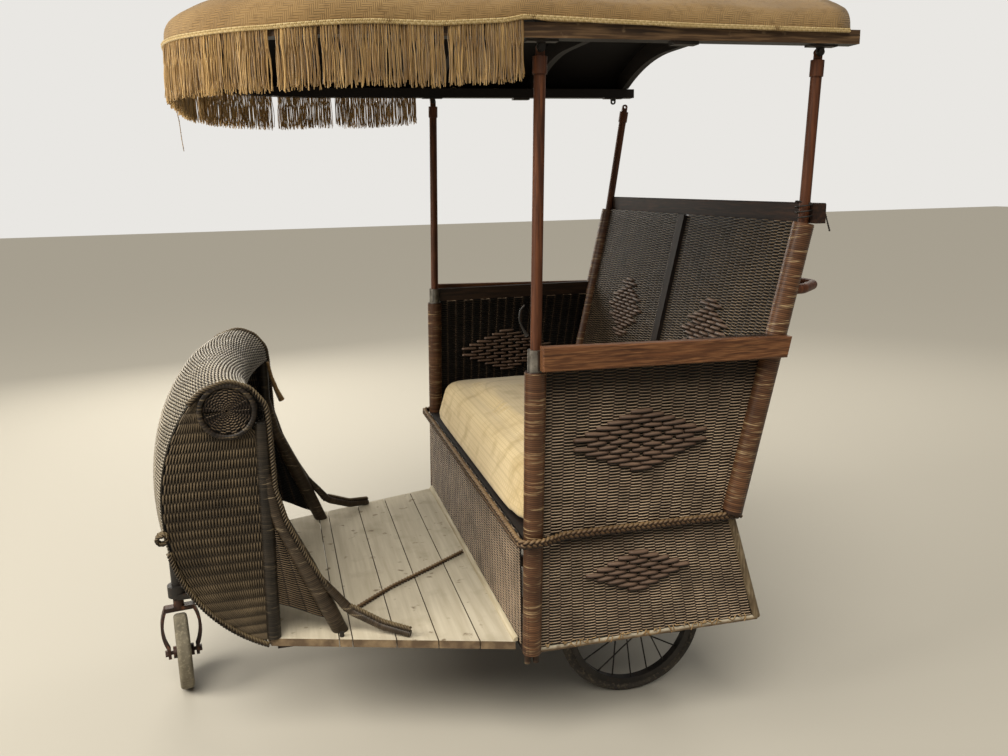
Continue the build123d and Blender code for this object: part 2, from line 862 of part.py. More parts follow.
with BuildPart() as push_bar:
    bar_x = rear_post_at(push_bar_z)
    bar_back = bar_x - post_r_top - push_bar_bow
    near_half = [
        (bar_x, post_y),
        (bar_x - post_r_top - push_bar_stub, post_y),
        (bar_back, post_y - push_bar_inset),
    ]
    far_half = [(x, -y) for x, y in reversed(near_half)]
    swept_bar([(x, y, push_bar_z) for x, y in near_half + far_half], push_bar_bend_r, push_bar_r)
    add(rear_posts.part, mode=Mode.SUBTRACT)
finish(push_bar.part, "push_bar")

# Floor: boards across, tapering to the dash and cut round to its foot
bow_x = post_x + dash_bulge - dash_bow_r


def bow_reach(ahead):
    """How far a point of the cheek's plane, so far ahead of the posts, lies from the bow's axis."""
    return math.hypot(post_x + ahead - bow_x, dash_y)


foot_lean = math.radians(dash_foot_angle)
floor_reach = bow_reach(floor_front) - dash_skin * math.sin(foot_lean)
floor_start = front_panel_ahead + panel_thickness + floor_gap
with BuildPart() as floor_planks:
    starts = (floor_start,) + tuple(seam + plank_gap / 2 for seam in floor_seams)
    stops = tuple(seam - plank_gap / 2 for seam in floor_seams) + (dash_bulge,)
    for start, stop in zip(starts, stops):
        with BuildSketch(Plane.XY.offset(floor_bottom)) as plank:
            with BuildLine():
                Polyline(
                    (post_x + start, floor_half_at(start)),
                    (post_x + stop, floor_half_at(stop)),
                    (post_x + stop, -floor_half_at(stop)),
                    (post_x + start, -floor_half_at(start)),
                    close=True,
                )
            make_face()
            with Locations((bow_x, 0)):
                Circle(floor_reach, mode=Mode.INTERSECT)
        extrude(plank.sketch, amount=plank_thickness)
finish(floor_planks.part, "floor_planks")

# Dash: its section is swung about a far axis, so that it bows out ahead
dash_swing = dash_swing_spare + math.degrees(
    math.asin(dash_half_width / bow_reach(dash_section[-1][0]))
)
swing_dir = (math.cos(math.radians(dash_swing)), -math.sin(math.radians(dash_swing)), 0)
swing_plane = Plane(origin=(bow_x, 0, 0), x_dir=swing_dir, z_dir=(swing_dir[1], -swing_dir[0], 0))
bow_axis = Axis((bow_x, 0, 0), (0, 0, 1))


def dash_curve():
    """The dash's outer curve, a chain of tangent arcs from its foot over its top."""
    tangent = (math.cos(foot_lean), math.sin(foot_lean))
    arcs = []
    for start, stop in zip(dash_section, dash_section[1:]):
        ends = [(bow_reach(ahead), height) for ahead, height in (start, stop)]
        arcs.append(TangentArc(*ends, tangent=tangent))
        tangent = arcs[-1] % 1
    return arcs[0] @ 0, arcs[-1] @ 1


def slab(low_y, high_y):
    """Everything of the dash between two Y faces."""
    block(
        (post_x, low_y, bearer_bottom),
        (post_x + dash_bulge + dash_skin, high_y, 2 * dash_section[-1][1]),
    )


with BuildPart() as dash_cut:
    slab(-dash_half_width, dash_half_width)

with BuildPart() as dash_sheet:
    with BuildSketch(swing_plane) as skin:
        with BuildLine():
            dash_curve()
            offset(amount=dash_skin, side=Side.LEFT, closed=True)
        make_face()
    revolve(skin.sketch, axis=bow_axis, revolution_arc=2 * dash_swing)
    add(dash_cut.part, mode=Mode.INTERSECT)
finish(dash_sheet.part, "dash_sheet")

dash_top = dash_sheet.part.bounding_box().max.Z
roll_z = dash_top - dash_skin - dash_roll_r - roll_gap
cheek_inner_y = dash_y - dash_cheek / 2
cheek_outer_y = dash_y + dash_cheek / 2
with BuildPart() as roll_cut:
    slab(-cheek_inner_y, cheek_inner_y)

with BuildPart() as dash_roll:
    with BuildSketch(swing_plane) as tube:
        with Locations((bow_reach(dash_roll_ahead), roll_z)):
            Circle(dash_roll_r)
            Circle(dash_roll_r - dash_roll_wall, mode=Mode.SUBTRACT)
    revolve(tube.sketch, axis=bow_axis, revolution_arc=2 * dash_swing)
    add(roll_cut.part, mode=Mode.INTERSECT)
finish(dash_roll.part, "dash_roll")

# Wrapped posts behind the dash, each with the wing arm that sweeps to the floor
with BuildPart() as dash_posts:
    for side in SIDES:
        foot = (post_x + dash_post_foot, side * dash_y, floor_top)
        round_bar(foot, (post_x + dash_post_head, side * dash_y, dash_post_top), dash_post_r)
        swept_bar([(post_x + x, side * y, z) for x, y, z in wing_route], wing_bend_r, dash_arm_r)
        swept_bar([(post_x + x, side * y, z) for x, y, z in tail_route], tail_bend_r, dash_tail_r)
    block(
        (post_x, -floor_half_rear, bearer_bottom),
        (post_x + floor_front, floor_half_rear, floor_top),
        Mode.SUBTRACT,
    )
finish(dash_posts.part, "dash_posts")

with BuildPart() as dash_gussets:
    for side in SIDES:
        side_plate(
            [
                (dash_post_at(gusset_top), gusset_top),
                (dash_post_at(gusset_low), gusset_low),
                (wing_at(gusset_foot), gusset_foot),
                (wing_at(gusset_top), gusset_top),
            ],
            side * dash_y - dash_cheek / 2,
            side * dash_y + dash_cheek / 2,
        )
    add(dash_posts.part, mode=Mode.SUBTRACT)
finish(dash_gussets.part, "dash_gussets")

with BuildPart() as dash_inside:
    with BuildSketch(swing_plane) as inside:
        with BuildLine():
            foot, head = dash_curve()
            Line(head, foot)
        make_face()
    revolve(inside.sketch, axis=bow_axis, revolution_arc=2 * dash_swing)

with BuildPart() as dash_cheeks:
    for side in SIDES:
        side_plate(
            [
                (post_x + dash_post_foot, floor_bottom),
                (post_x + dash_bulge, floor_bottom),
                (post_x + dash_bulge, dash_top),
                (post_x + dash_post_head, dash_top),
                (post_x + dash_post_head, dash_post_top),
            ],
            side * dash_y - dash_cheek / 2,
            side * dash_y + dash_cheek / 2,
        )
    add(dash_inside.part, mode=Mode.INTERSECT)
    for other in (dash_sheet, dash_posts, floor_planks):
        add(other.part, mode=Mode.SUBTRACT)
finish(dash_cheeks.part, "dash_cheeks")

with BuildPart() as dash_discs:
    for side in SIDES:
        disc_origin = (post_x + dash_roll_ahead, side * cheek_outer_y, roll_z)
        with BuildSketch(Plane(origin=disc_origin, z_dir=(0, side, 0))) as disc:
            Circle(dash_disc_r)
        extrude(disc.sketch, amount=dash_disc_thickness)
    for group in (0, -1):
        fillet(dash_discs.edges().group_by(Axis.Y)[group], dash_disc_round)
finish(dash_discs.part, "dash_discs")

with BuildPart() as loose_plait:
    plait_z = floor_top + plait_r
    swept_bar([(post_x + x, y, plait_z) for x, y in plait_route], plait_bend_r, plait_r)
finish(loose_plait.part, "loose_plait")

# Canopy frame: a rail round three sides, bows across it, and latch plates
canopy_half = post_y + canopy_overhang
canopy_corner = canopy_half - canopy_flat_half
rim_bottom = pivot_z + rim_above_pivot
rim_top = rim_bottom + rim_height
rim_rear = post_x - canopy_rear - rim_overhang
cloth_bottom = rim_top - cloth_lap
canopy_crown = cloth_bottom + canopy_rise


def rim_outline(inset, rear_x, mode=Mode.ADD):
    """The canopy's plan, this far inside the cloth's outer face, back to rear_x."""
    half = canopy_half - inset
    front = post_x + canopy_front - inset
    corners = ((rear_x, half), (front, half), (front, -half), (rear_x, -half))
    with BuildLine() as outline:
        sides = FilletPolyline(*corners, radius=canopy_corner - inset)
        Line(sides @ 1, sides @ 0)
    make_face(outline.edges(), mode=mode)


with BuildPart() as canopy_rim:
    with BuildSketch(Plane.XY.offset(rim_bottom)) as rim_plan:
        rim_outline(cloth_thickness, rim_rear)
        rim_outline(cloth_thickness + rim_thickness, rim_rear - rim_thickness, Mode.SUBTRACT)
    extrude(rim_plan.sketch, amount=rim_height)
finish(canopy_rim.part, "canopy_rim")

# The roof's arch lies level at the crown and runs on into the shoulder's arc
shoulder_from_arch = canopy_corner - canopy_shoulder_r
shoulder_z = cloth_bottom + canopy_wall
shoulder_drop = canopy_crown - shoulder_z
canopy_arch_r = (shoulder_from_arch**2 + shoulder_drop**2 - canopy_shoulder_r**2) / (
    2 * (shoulder_drop - canopy_shoulder_r)
)
arch_z = canopy_crown - canopy_arch_r
shoulder_angle = math.degrees(math.atan2(shoulder_z - arch_z, shoulder_from_arch))


def roof_lines(inset, low, flat):
    """One half of the roof's section from low up to its level crown, flat wide to each side."""
    wall = flat + canopy_corner - inset
    Line((wall, low), (wall, shoulder_z))
    shoulder = (flat + shoulder_from_arch, shoulder_z)
    CenterArc(shoulder, canopy_shoulder_r - inset, 0, shoulder_angle)
    CenterArc((flat, arch_z), canopy_arch_r - inset, shoulder_angle, 90 - shoulder_angle)


def roof_across(inset, low, mode=Mode.ADD):
    """The roof's whole section across, closed along low."""
    with BuildLine() as outline:
        roof_lines(inset, low, canopy_flat_half)
        Line((canopy_flat_half, canopy_crown - inset), (0, canopy_crown - inset))
        Line((0, low), (canopy_half - inset, low))
        mirror(about=Plane.YZ)
    make_face(outline.edges(), mode=mode)


def roof_half(inset, mode=Mode.ADD):
    """The roof's section out from its corner's centre, closed along the cloth's lower edge."""
    with BuildLine() as outline:
        roof_lines(inset, cloth_bottom, 0)
        Line((0, canopy_crown - inset), (0, cloth_bottom))
        Line((0, cloth_bottom), (canopy_corner - inset, cloth_bottom))
    make_face(outline.edges(), mode=mode)


def across_plane(ahead):
    """The upright plane across the chair, so far ahead of the posts."""
    return Plane(origin=(post_x + ahead, 0, 0), x_dir=(0, 1, 0), z_dir=(1, 0, 0))


with BuildPart() as canopy_bows:
    lower_r = canopy_arch_r - cloth_thickness - bow_depth
    lower_angle = math.degrees(math.asin((rim_top - arch_z) / lower_r))
    for ahead in bow_stations:
        with BuildSketch(across_plane(ahead)) as bow:
            roof_across(cloth_thickness, rim_top)
            with BuildLine():
                hollow = CenterArc(
                    (canopy_flat_half, arch_z), lower_r, lower_angle, 90 - lower_angle
                )
                Line(hollow @ 1, (0, arch_z + lower_r))
                Line((0, rim_top), hollow @ 0)
                mirror(about=Plane.YZ)
            make_face(mode=Mode.SUBTRACT)
        extrude(bow.sketch, amount=bow_thickness / 2, both=True)
finish(canopy_bows.part, "canopy_bows")

# Canopy cloth: level between its corners, swung round at each front corner
corner_ahead = canopy_front - canopy_corner
with BuildPart() as canopy_cover:
    with BuildSketch(across_plane(corner_ahead)) as middle:
        roof_across(0, cloth_bottom)
        roof_across(cloth_thickness, cloth_bottom, Mode.SUBTRACT)
    extrude(middle.sketch, amount=-(corner_ahead + canopy_rear))
    corner_x = post_x + corner_ahead
    for side, start_dir in ((1, (1, 0, 0)), (-1, (0, -1, 0))):
        pivot = (corner_x, side * canopy_flat_half, 0)
        across = (start_dir[1], -start_dir[0], 0)
        with BuildSketch(Plane(origin=pivot, x_dir=start_dir, z_dir=across)) as corner:
            roof_half(0)
            roof_half(cloth_thickness, Mode.SUBTRACT)
        revolve(corner.sketch, axis=Axis(pivot, (0, 0, 1)), revolution_arc=90)
    front_origin = (corner_x, canopy_flat_half, 0)
    with BuildSketch(Plane(origin=front_origin, x_dir=(1, 0, 0), z_dir=(0, -1, 0))) as front:
        roof_half(0)
        roof_half(cloth_thickness, Mode.SUBTRACT)
    extrude(front.sketch, amount=2 * canopy_flat_half)
finish(canopy_cover.part, "canopy_cover")

# Fringe below the cloth's edge, in front of the posts
fringe_rear = post_x + fringe_start
fringe_thickness = cloth_thickness - fringe_gap
with BuildPart() as canopy_fringe:
    with BuildSketch(Plane.XY.offset(cloth_bottom - fringe_drop)) as fringe_plan:
        rim_outline(0, fringe_rear)
        rim_outline(fringe_thickness, fringe_rear - fringe_thickness, Mode.SUBTRACT)
    extrude(fringe_plan.sketch, amount=fringe_drop)
finish(canopy_fringe.part, "canopy_fringe")

# Lugs under the rail, bolted to three of the poles, and latch plates
ear_gap = eye_thickness / 2
with BuildPart() as canopy_lugs:
    for lug_x in (front_post_at(pivot_z), rear_pivot_x):
        for side in SIDES:
            with Locations((lug_x, side * (post_y + ear_gap + ear_thickness), rim_bottom)):
                Box(
                    lug_length,
                    lug_width,
                    lug_plate,
                    align=(Align.CENTER, Align.CENTER, Align.MAX),
                )
            ear_origin = (lug_x, side * (post_y + ear_gap), pivot_z)
            ear_height = rim_above_pivot - lug_plate
            with BuildSketch(Plane(origin=ear_origin, x_dir=(1, 0, 0), z_dir=(0, side, 0))) as ear:
                Circle(ear_drop)
                with Locations((0, -side * ear_height / 2)):
                    Rectangle(2 * ear_drop, ear_height)
                Circle(eye_hole_r, mode=Mode.SUBTRACT)
            extrude(ear.sketch, amount=ear_thickness)
finish(canopy_lugs.part, "canopy_lugs")

with BuildPart() as canopy_bolts:
    front_pivot_x = front_post_at(pivot_z)
    for bolt_x, side in ((front_pivot_x, 1), (rear_pivot_x, 1), (front_pivot_x, -1)):
        inner = post_y - ear_gap
        outer = post_y + ear_gap + ear_thickness
        for start, stop, radius in (
            (inner, outer, bolt_r),
            (inner - bolt_cap_length, inner, bolt_cap_r),
            (outer, outer + bolt_cap_length, bolt_cap_r),
        ):
            round_bar((bolt_x, side * start, pivot_z), (bolt_x, side * stop, pivot_z), radius)
finish(canopy_bolts.part, "canopy_bolts")

with BuildPart() as canopy_latches:
    latch_y = canopy_half - cloth_thickness - rim_thickness / 2
    for side in SIDES:
        with Locations((post_x - latch_behind, side * latch_y, rim_bottom)):
            Box(
                latch_length,
                latch_width,
                latch_height,
                align=(Align.CENTER, Align.CENTER, Align.MAX),
            )
finish(canopy_latches.part, "canopy_latches")
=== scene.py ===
import json
import math

import bmesh
import bpy
import numpy as np
from mathutils import Matrix, Vector
from mathutils.bvhtree import BVHTree


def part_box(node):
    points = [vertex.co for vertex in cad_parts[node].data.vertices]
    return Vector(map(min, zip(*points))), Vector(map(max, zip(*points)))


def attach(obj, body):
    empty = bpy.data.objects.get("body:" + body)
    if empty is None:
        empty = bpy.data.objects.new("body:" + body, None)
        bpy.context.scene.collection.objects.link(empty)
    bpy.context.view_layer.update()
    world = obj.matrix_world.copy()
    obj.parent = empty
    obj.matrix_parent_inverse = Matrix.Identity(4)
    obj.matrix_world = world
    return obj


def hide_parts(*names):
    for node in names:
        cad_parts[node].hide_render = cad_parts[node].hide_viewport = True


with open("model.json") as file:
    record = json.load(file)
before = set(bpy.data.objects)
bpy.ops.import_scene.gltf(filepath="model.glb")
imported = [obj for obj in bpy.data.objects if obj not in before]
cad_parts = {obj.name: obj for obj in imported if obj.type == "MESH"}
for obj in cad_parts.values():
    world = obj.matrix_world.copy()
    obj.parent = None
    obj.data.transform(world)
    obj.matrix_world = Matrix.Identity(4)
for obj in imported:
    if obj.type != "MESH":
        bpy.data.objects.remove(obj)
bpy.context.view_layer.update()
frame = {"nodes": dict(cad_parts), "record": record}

bpy.context.scene.view_settings.view_transform = "Standard"

# The wicker rolling chair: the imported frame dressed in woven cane, bound posts,
# stained wood, a padded seat and a fringed canopy. Metres; X to the dash, Y to the
# rider's left, Z up from the floor.

# Camera, as the photograph was taken
CAMERA_PLACE = (0.503, 2.701, 1.490)
CAMERA_YAW = -0.2517
CAMERA_PITCH = 0.2163
CAMERA_ROLL = -0.0208
FOCAL_PIXELS = 895.5
PICTURE_WIDTH = 1008
SENSOR_WIDTH = 36.0

# Stage; each lamp has a name, a place, a size and a power
BACKDROP = "#E9E7E3"
FLOOR_COLOUR = "#B5B0A4"
FLOOR_SIZE = 60
FLOOR_ROUGHNESS = 0.75
WORLD_LIGHT = 0.22
SUN_PLACE = (1.0, 2.2, 4.6)
SUN_POWER = 2.5
SUN_WIDTH = 0.7
LIGHT_COLOUR = (1.0, 0.95, 0.86)
LIGHTS_AIM = (0, 0, 0.9)
LAMPS = (
    ("front", (4.6, 0.9, 3.3), 2.4, 235),
    ("rear", (-3.6, -3.2, 3.6), 2.6, 60),
    ("aside", (1.2, -4.6, 2.6), 2.4, 100),
)

# Cane work: each strand passes before two stakes, a column's width, then behind two. How far apart each weave's
# columns and strands are
WEAVES = {
    "side": (0.031, 0.0040), "front": (0.031, 0.0037), "rear": (0.031, 0.0042), "back": (0.031, 0.0042),
    "dash": (0.0280, 0.0042), "cheek": (0.0262, 0.0039), "gusset": (0.026, 0.0036), "disc": (0.0078, 0.0040),
}
PANEL = 0.010
PANEL_Y = 0.664
POST_X = -0.0757
POST_Y = 0.674
BRAID_R = 0.010
BACK_DIAMOND_Z = 1.035

# Dash: its posts, the wing arms and tails, and the ropes on its edges. Points are
# ahead of the front posts, out from the middle where there are three, and height
DASH_Y = 0.420
DASH_SKIN = 0.008
DASH_LIP = 0.073
DASH_POST_FOOT = (POST_X + 0.641, 0.312)
DASH_POST_HEAD = (POST_X + 0.629, 0.906)
DISC_R = 0.066
DISC_SPOKES = 13
WING_ROUTE = ((0.622, 0.420, 0.780), (0.600, 0.422, 0.655), (0.533, 0.428, 0.500), (0.455, 0.432, 0.303))
TAIL_ROUTE = ((0.515, 0.437, 0.475), (0.440, 0.448, 0.375), (0.360, 0.485, 0.335), (0.290, 0.525, 0.321))
DASH_EDGE = (
    (0.800, 0.967), (0.769, 0.998), (0.703, 1.022), (0.650, 0.999), (0.615, 0.952), (0.611, 0.907),
    (0.608, 0.727), (0.591, 0.632), (0.548, 0.532), (0.503, 0.450), (0.456, 0.373),
)
HEM_TOP = 0.585
# The plait that lies loose on the floor: ahead of the posts, to the left
LOOSE_PLAIT = ((0.437, 0.352), (0.300, 0.222), (0.170, 0.128), (0.043, 0.030))

# Canopy
ROOF_FLAT = 0.272
ROOF_WALL = 0.013
ROOF_SHOULDER_R = 0.050
ROOF_SAG = 0.007
ROOF_OVERHANG = 0.009
# Points on half the arch, on a shoulder, along a side, round a front corner and across the front
ARCH_STEPS = 14
SHOULDER_STEPS = 6
SIDE_STEPS = 30
CORNER_STEPS = 13
FRONT_STEPS = 11
# The cloth's lowest part, which ripples: its share of the run down, and each wave's height, closeness and lead
LOOSE_SHARE = 0.20
RIPPLES = ((0.0030, 41, 0), (0.0022, 97, 1))
LIFT = (0.0018, 23, 0.7)
# How far the cloth's edge hangs below the even line: X along the chair, and the drop
HEM_DROPS = (
    (-0.870, 0.005), (-0.485, 0.002), (-0.243, -0.003), (-0.066, -0.008), (-0.030, 0.0), (0.128, 0.010),
    (0.250, 0.008), (0.316, 0.010), (0.473, 0.017), (0.620, 0.015), (0.714, 0.008),
)
# Where the fringe on the near side has lost its threads: X along the chair, and half the gap's width
SLITS = ((0.105, 0.006), (0.330, 0.003), (0.465, 0.007), (0.020, 0.002))
CLOTH_THICKNESS = 0.0020
LINING_THICKNESS = 0.0012
LINING_INSET = 0.0028
# The bows, ahead of the front posts
BOWS = (-0.790, -0.430, -0.060, 0.300)
FRINGE_START = -0.066
FRINGE_LENGTH = 0.124
# Each layer of the fringe: how far inside the cloth's edge, and the threads' spacing
FRINGE_LAYERS = ((-0.0005, 0.0031), (0.0022, 0.0034), (0.0042, 0.0040))

SIDES = ((1, "left"), (-1, "right"))
SEED = 7

# Node trees: facets of the sections that are swept, the noise's middle span, and what makes work by hand uneven
STRAND_FACETS = 4
PLAIT_FACETS = 6
THREAD_FACETS = 3
NOISE_SPAN = (0.3, 0.7)
WANDER_SCALE = 9.0
CHART_EDGE = 0.0005
# A strand's wave is cut off at this height, so that it lies flat before and behind the stakes
WAVE_CUT = 0.62
SWING_SPAN = (0.8, 1.2)
# A diamond's strip: points along, across and through it, how it is bowed and crowned, and how far it leans
STRIP_POINTS = (7, 4, 2)
STRIP_BOW = 2.9
STRIP_CROWN = 2.2
STRIP_ENDS = 0.66
STRIP_LEAN = 0.06
# Strips at a diamond's rim, from the first share of the way out to the second, are longer by this
RIM_SPAN = (0.72, 0.92)
RIM_LENGTH = 1.25
RING_SPAN = (0.6, 1.4)
THREAD_POINTS = 5
THREAD_WAVE = 7.5
THREAD_SWAY = 0.0022
THREAD_LEAN = 0.045
THREAD_SPAN = (0.9, 1.04)
BARE_SCALE = 24.0

nodes = frame["nodes"]


def linear(colour):
    """An sRGB hex colour as linear red, green, blue and alpha."""
    parts = [int(colour[i : i + 2], 16) / 255 for i in (1, 3, 5)]
    return tuple(c / 12.92 if c <= 0.04045 else ((c + 0.055) / 1.055) ** 2.4 for c in parts) + (1.0,)


def add_node(tree, kind, inputs=None, **settings):
    """Add a node with its settings; its inputs are values, sockets, or nodes for their first output."""
    made = tree.nodes.new(kind)
    for name, value in settings.items():
        setattr(made, name, value)
    for key, value in (inputs or {}).items():
        if isinstance(value, bpy.types.Node):
            value = value.outputs[0]
        if isinstance(value, bpy.types.NodeSocket):
            tree.links.new(value, made.inputs[key])
        else:
            made.inputs[key].default_value = value
    return made


# Nodes that the trees below share
def reckon(tree, operation, *values):
    """One sum on numbers or sockets."""
    return add_node(tree, "ShaderNodeMath", dict(enumerate(values)), operation=operation)


def vectors(tree, operation, first, second):
    """One sum on two vectors, or on a vector and its scale."""
    key = "Scale" if operation == "SCALE" else 1
    return add_node(tree, "ShaderNodeVectorMath", {0: first, key: second}, operation=operation)


def ranged(tree, value, low, high, first=0.0, last=1.0):
    """A value's place between low and high, as a number from first to last."""
    return add_node(tree, "ShaderNodeMapRange", {
        "Value": value, "From Min": low, "From Max": high, "To Min": first, "To Max": last,
    })


def noise(tree, where, scale, detail):
    """A noise of this scale and detail."""
    return add_node(tree, "ShaderNodeTexNoise", {"Vector": where, "Scale": scale, "Detail": detail})


def drawn(tree, given, low=0.0, high=1.0, number=None):
    """A random number for each point, or for each number, from the tree's seed."""
    inputs = {2: low, 3: high, 8: given["Seed"]}
    if number is not None:
        inputs[7] = number
    return add_node(tree, "FunctionNodeRandomValue", inputs, data_type="FLOAT").outputs[1]


def noted(tree, shape, **numbers):
    """Keep numbers on a shape's points, for its paint."""
    for name, value in numbers.items():
        shape = add_node(tree, "GeometryNodeStoreNamedAttribute", {0: shape, 2: name, 3: value}, data_type="FLOAT")
    return shape


def swept(tree, path, facets, radius, **inputs):
    """A bar of round section along a path."""
    ring = add_node(tree, "GeometryNodeCurvePrimitiveCircle", {0: facets, 4: radius})
    return add_node(tree, "GeometryNodeCurveToMesh", {0: path, 1: ring, "Fill Caps": True, **inputs})


# Stage: camera, floor and soft studio light
def place_camera():
    """The camera at the photograph's place, looking as it did."""
    cp, sp = math.cos(CAMERA_PITCH), math.sin(CAMERA_PITCH)
    ahead = Vector((math.sin(CAMERA_YAW) * cp, -math.cos(CAMERA_YAW) * cp, -sp))
    right = ahead.cross(Vector((0, 0, 1))).normalized()
    up = right.cross(ahead)
    cr, sr = math.cos(CAMERA_ROLL), math.sin(CAMERA_ROLL)
    rolled_right = cr * right + sr * up
    rolled_up = cr * up - sr * right
    camera = bpy.data.objects.new("camera", bpy.data.cameras.new("camera"))
    camera.data.sensor_width = SENSOR_WIDTH
    camera.data.lens = FOCAL_PIXELS / PICTURE_WIDTH * SENSOR_WIDTH
    turn = Matrix((rolled_right, rolled_up, -ahead)).transposed().to_4x4()
    camera.matrix_world = Matrix.Translation(CAMERA_PLACE) @ turn
    bpy.context.collection.objects.link(camera)
    bpy.context.scene.camera = camera


def build_stage():
    """A pale floor and world, a wide soft sun from above, and three soft boxes that face the chair."""
    world = bpy.data.worlds.new("studio")
    bpy.context.scene.world = world
    world.use_nodes = True
    tree = world.node_tree
    tree.nodes.clear()
    seen = add_node(tree, "ShaderNodeLightPath").outputs["Is Camera Ray"]
    strength = ranged(tree, seen, 0.0, 1.0, WORLD_LIGHT, 1.0)
    back = add_node(tree, "ShaderNodeBackground", {"Color": linear(BACKDROP), "Strength": strength})
    add_node(tree, "ShaderNodeOutputWorld", {"Surface": back})
    bpy.ops.mesh.primitive_plane_add(size=FLOOR_SIZE)
    floor = bpy.context.object
    floor.name = "floor"
    floor_paint = bpy.data.materials.new("floor_paint")
    floor_paint.use_nodes = True
    shader = floor_paint.node_tree.nodes["Principled BSDF"]
    shader.inputs["Base Color"].default_value = linear(FLOOR_COLOUR)
    shader.inputs["Roughness"].default_value = FLOOR_ROUGHNESS
    floor.data.materials.append(floor_paint)
    sun = bpy.data.lights.new("overhead", "SUN")
    sun.energy, sun.angle = SUN_POWER, SUN_WIDTH
    lights = [(sun, SUN_PLACE)]
    for name, place, size, power in LAMPS:
        lamp = bpy.data.lights.new(name, "AREA")
        lamp.size, lamp.energy = size, power
        lights.append((lamp, place))
    for lamp, place in lights:
        lamp.color = LIGHT_COLOUR
        light = bpy.data.objects.new(lamp.name, lamp)
        light.location = place
        light.rotation_mode = "QUATERNION"
        light.rotation_quaternion = (Vector(LIGHTS_AIM) - Vector(place)).to_track_quat("-Z", "Y")
        bpy.context.collection.objects.link(light)


# Geometry node trees, each with named sizes, and the piece that one makes
def new_tree(name, **sizes):
    """A tree with a geometry, a material and these named sizes to set; returns it and its input node."""
    tree = bpy.data.node_groups.new(name, "GeometryNodeTree")
    sockets = {"Geometry": "Geometry", **sizes, "Material": "Material"}
    for socket, kind in sockets.items():
        tree.interface.new_socket(socket, in_out="INPUT", socket_type=f"NodeSocket{kind}")
    tree.interface.new_socket("Geometry", in_out="OUTPUT", socket_type="NodeSocketGeometry")
    return tree, add_node(tree, "NodeGroupInput").outputs


def close_tree(tree, shape, material, smooth=True):
    """End a tree in realized instances with the piece's material."""
    real = add_node(tree, "GeometryNodeRealizeInstances", {0: shape})
    shaded = add_node(tree, "GeometryNodeSetShadeSmooth", {0: real, 2: smooth})
    clad = add_node(tree, "GeometryNodeSetMaterial", {0: shaded, 2: material})
    add_node(tree, "NodeGroupOutput", {0: clad})


def grow(tree, name, base, material, slot, body="chair", replaced=(), **sizes):
    """Run a tree on a base mesh with these sizes, and keep the result as a plain mesh piece."""
    piece = bpy.data.objects.new(name, base)
    modifier = piece.modifiers.new("grow", "NODES")
    modifier.node_group = tree
    values = {**sizes, "Material": material}
    for item in tree.interface.items_tree:
        if item.in_out == "INPUT" and item.name in values:
            modifier[item.identifier] = values[item.name]
    bpy.context.collection.objects.link(piece)
    grown = piece.evaluated_get(bpy.context.evaluated_depsgraph_get())
    result = bpy.data.meshes.new_from_object(grown)
    piece.modifiers.remove(modifier)
    piece.data = result
    result.name = name
    return dress(piece, body, replaced)


def dress(piece, body="chair", replaced=()):
    """Let a finished piece ride on its body, in place of the nodes it replaces."""
    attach(piece, body)
    if replaced:
        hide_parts(*replaced)
    return piece


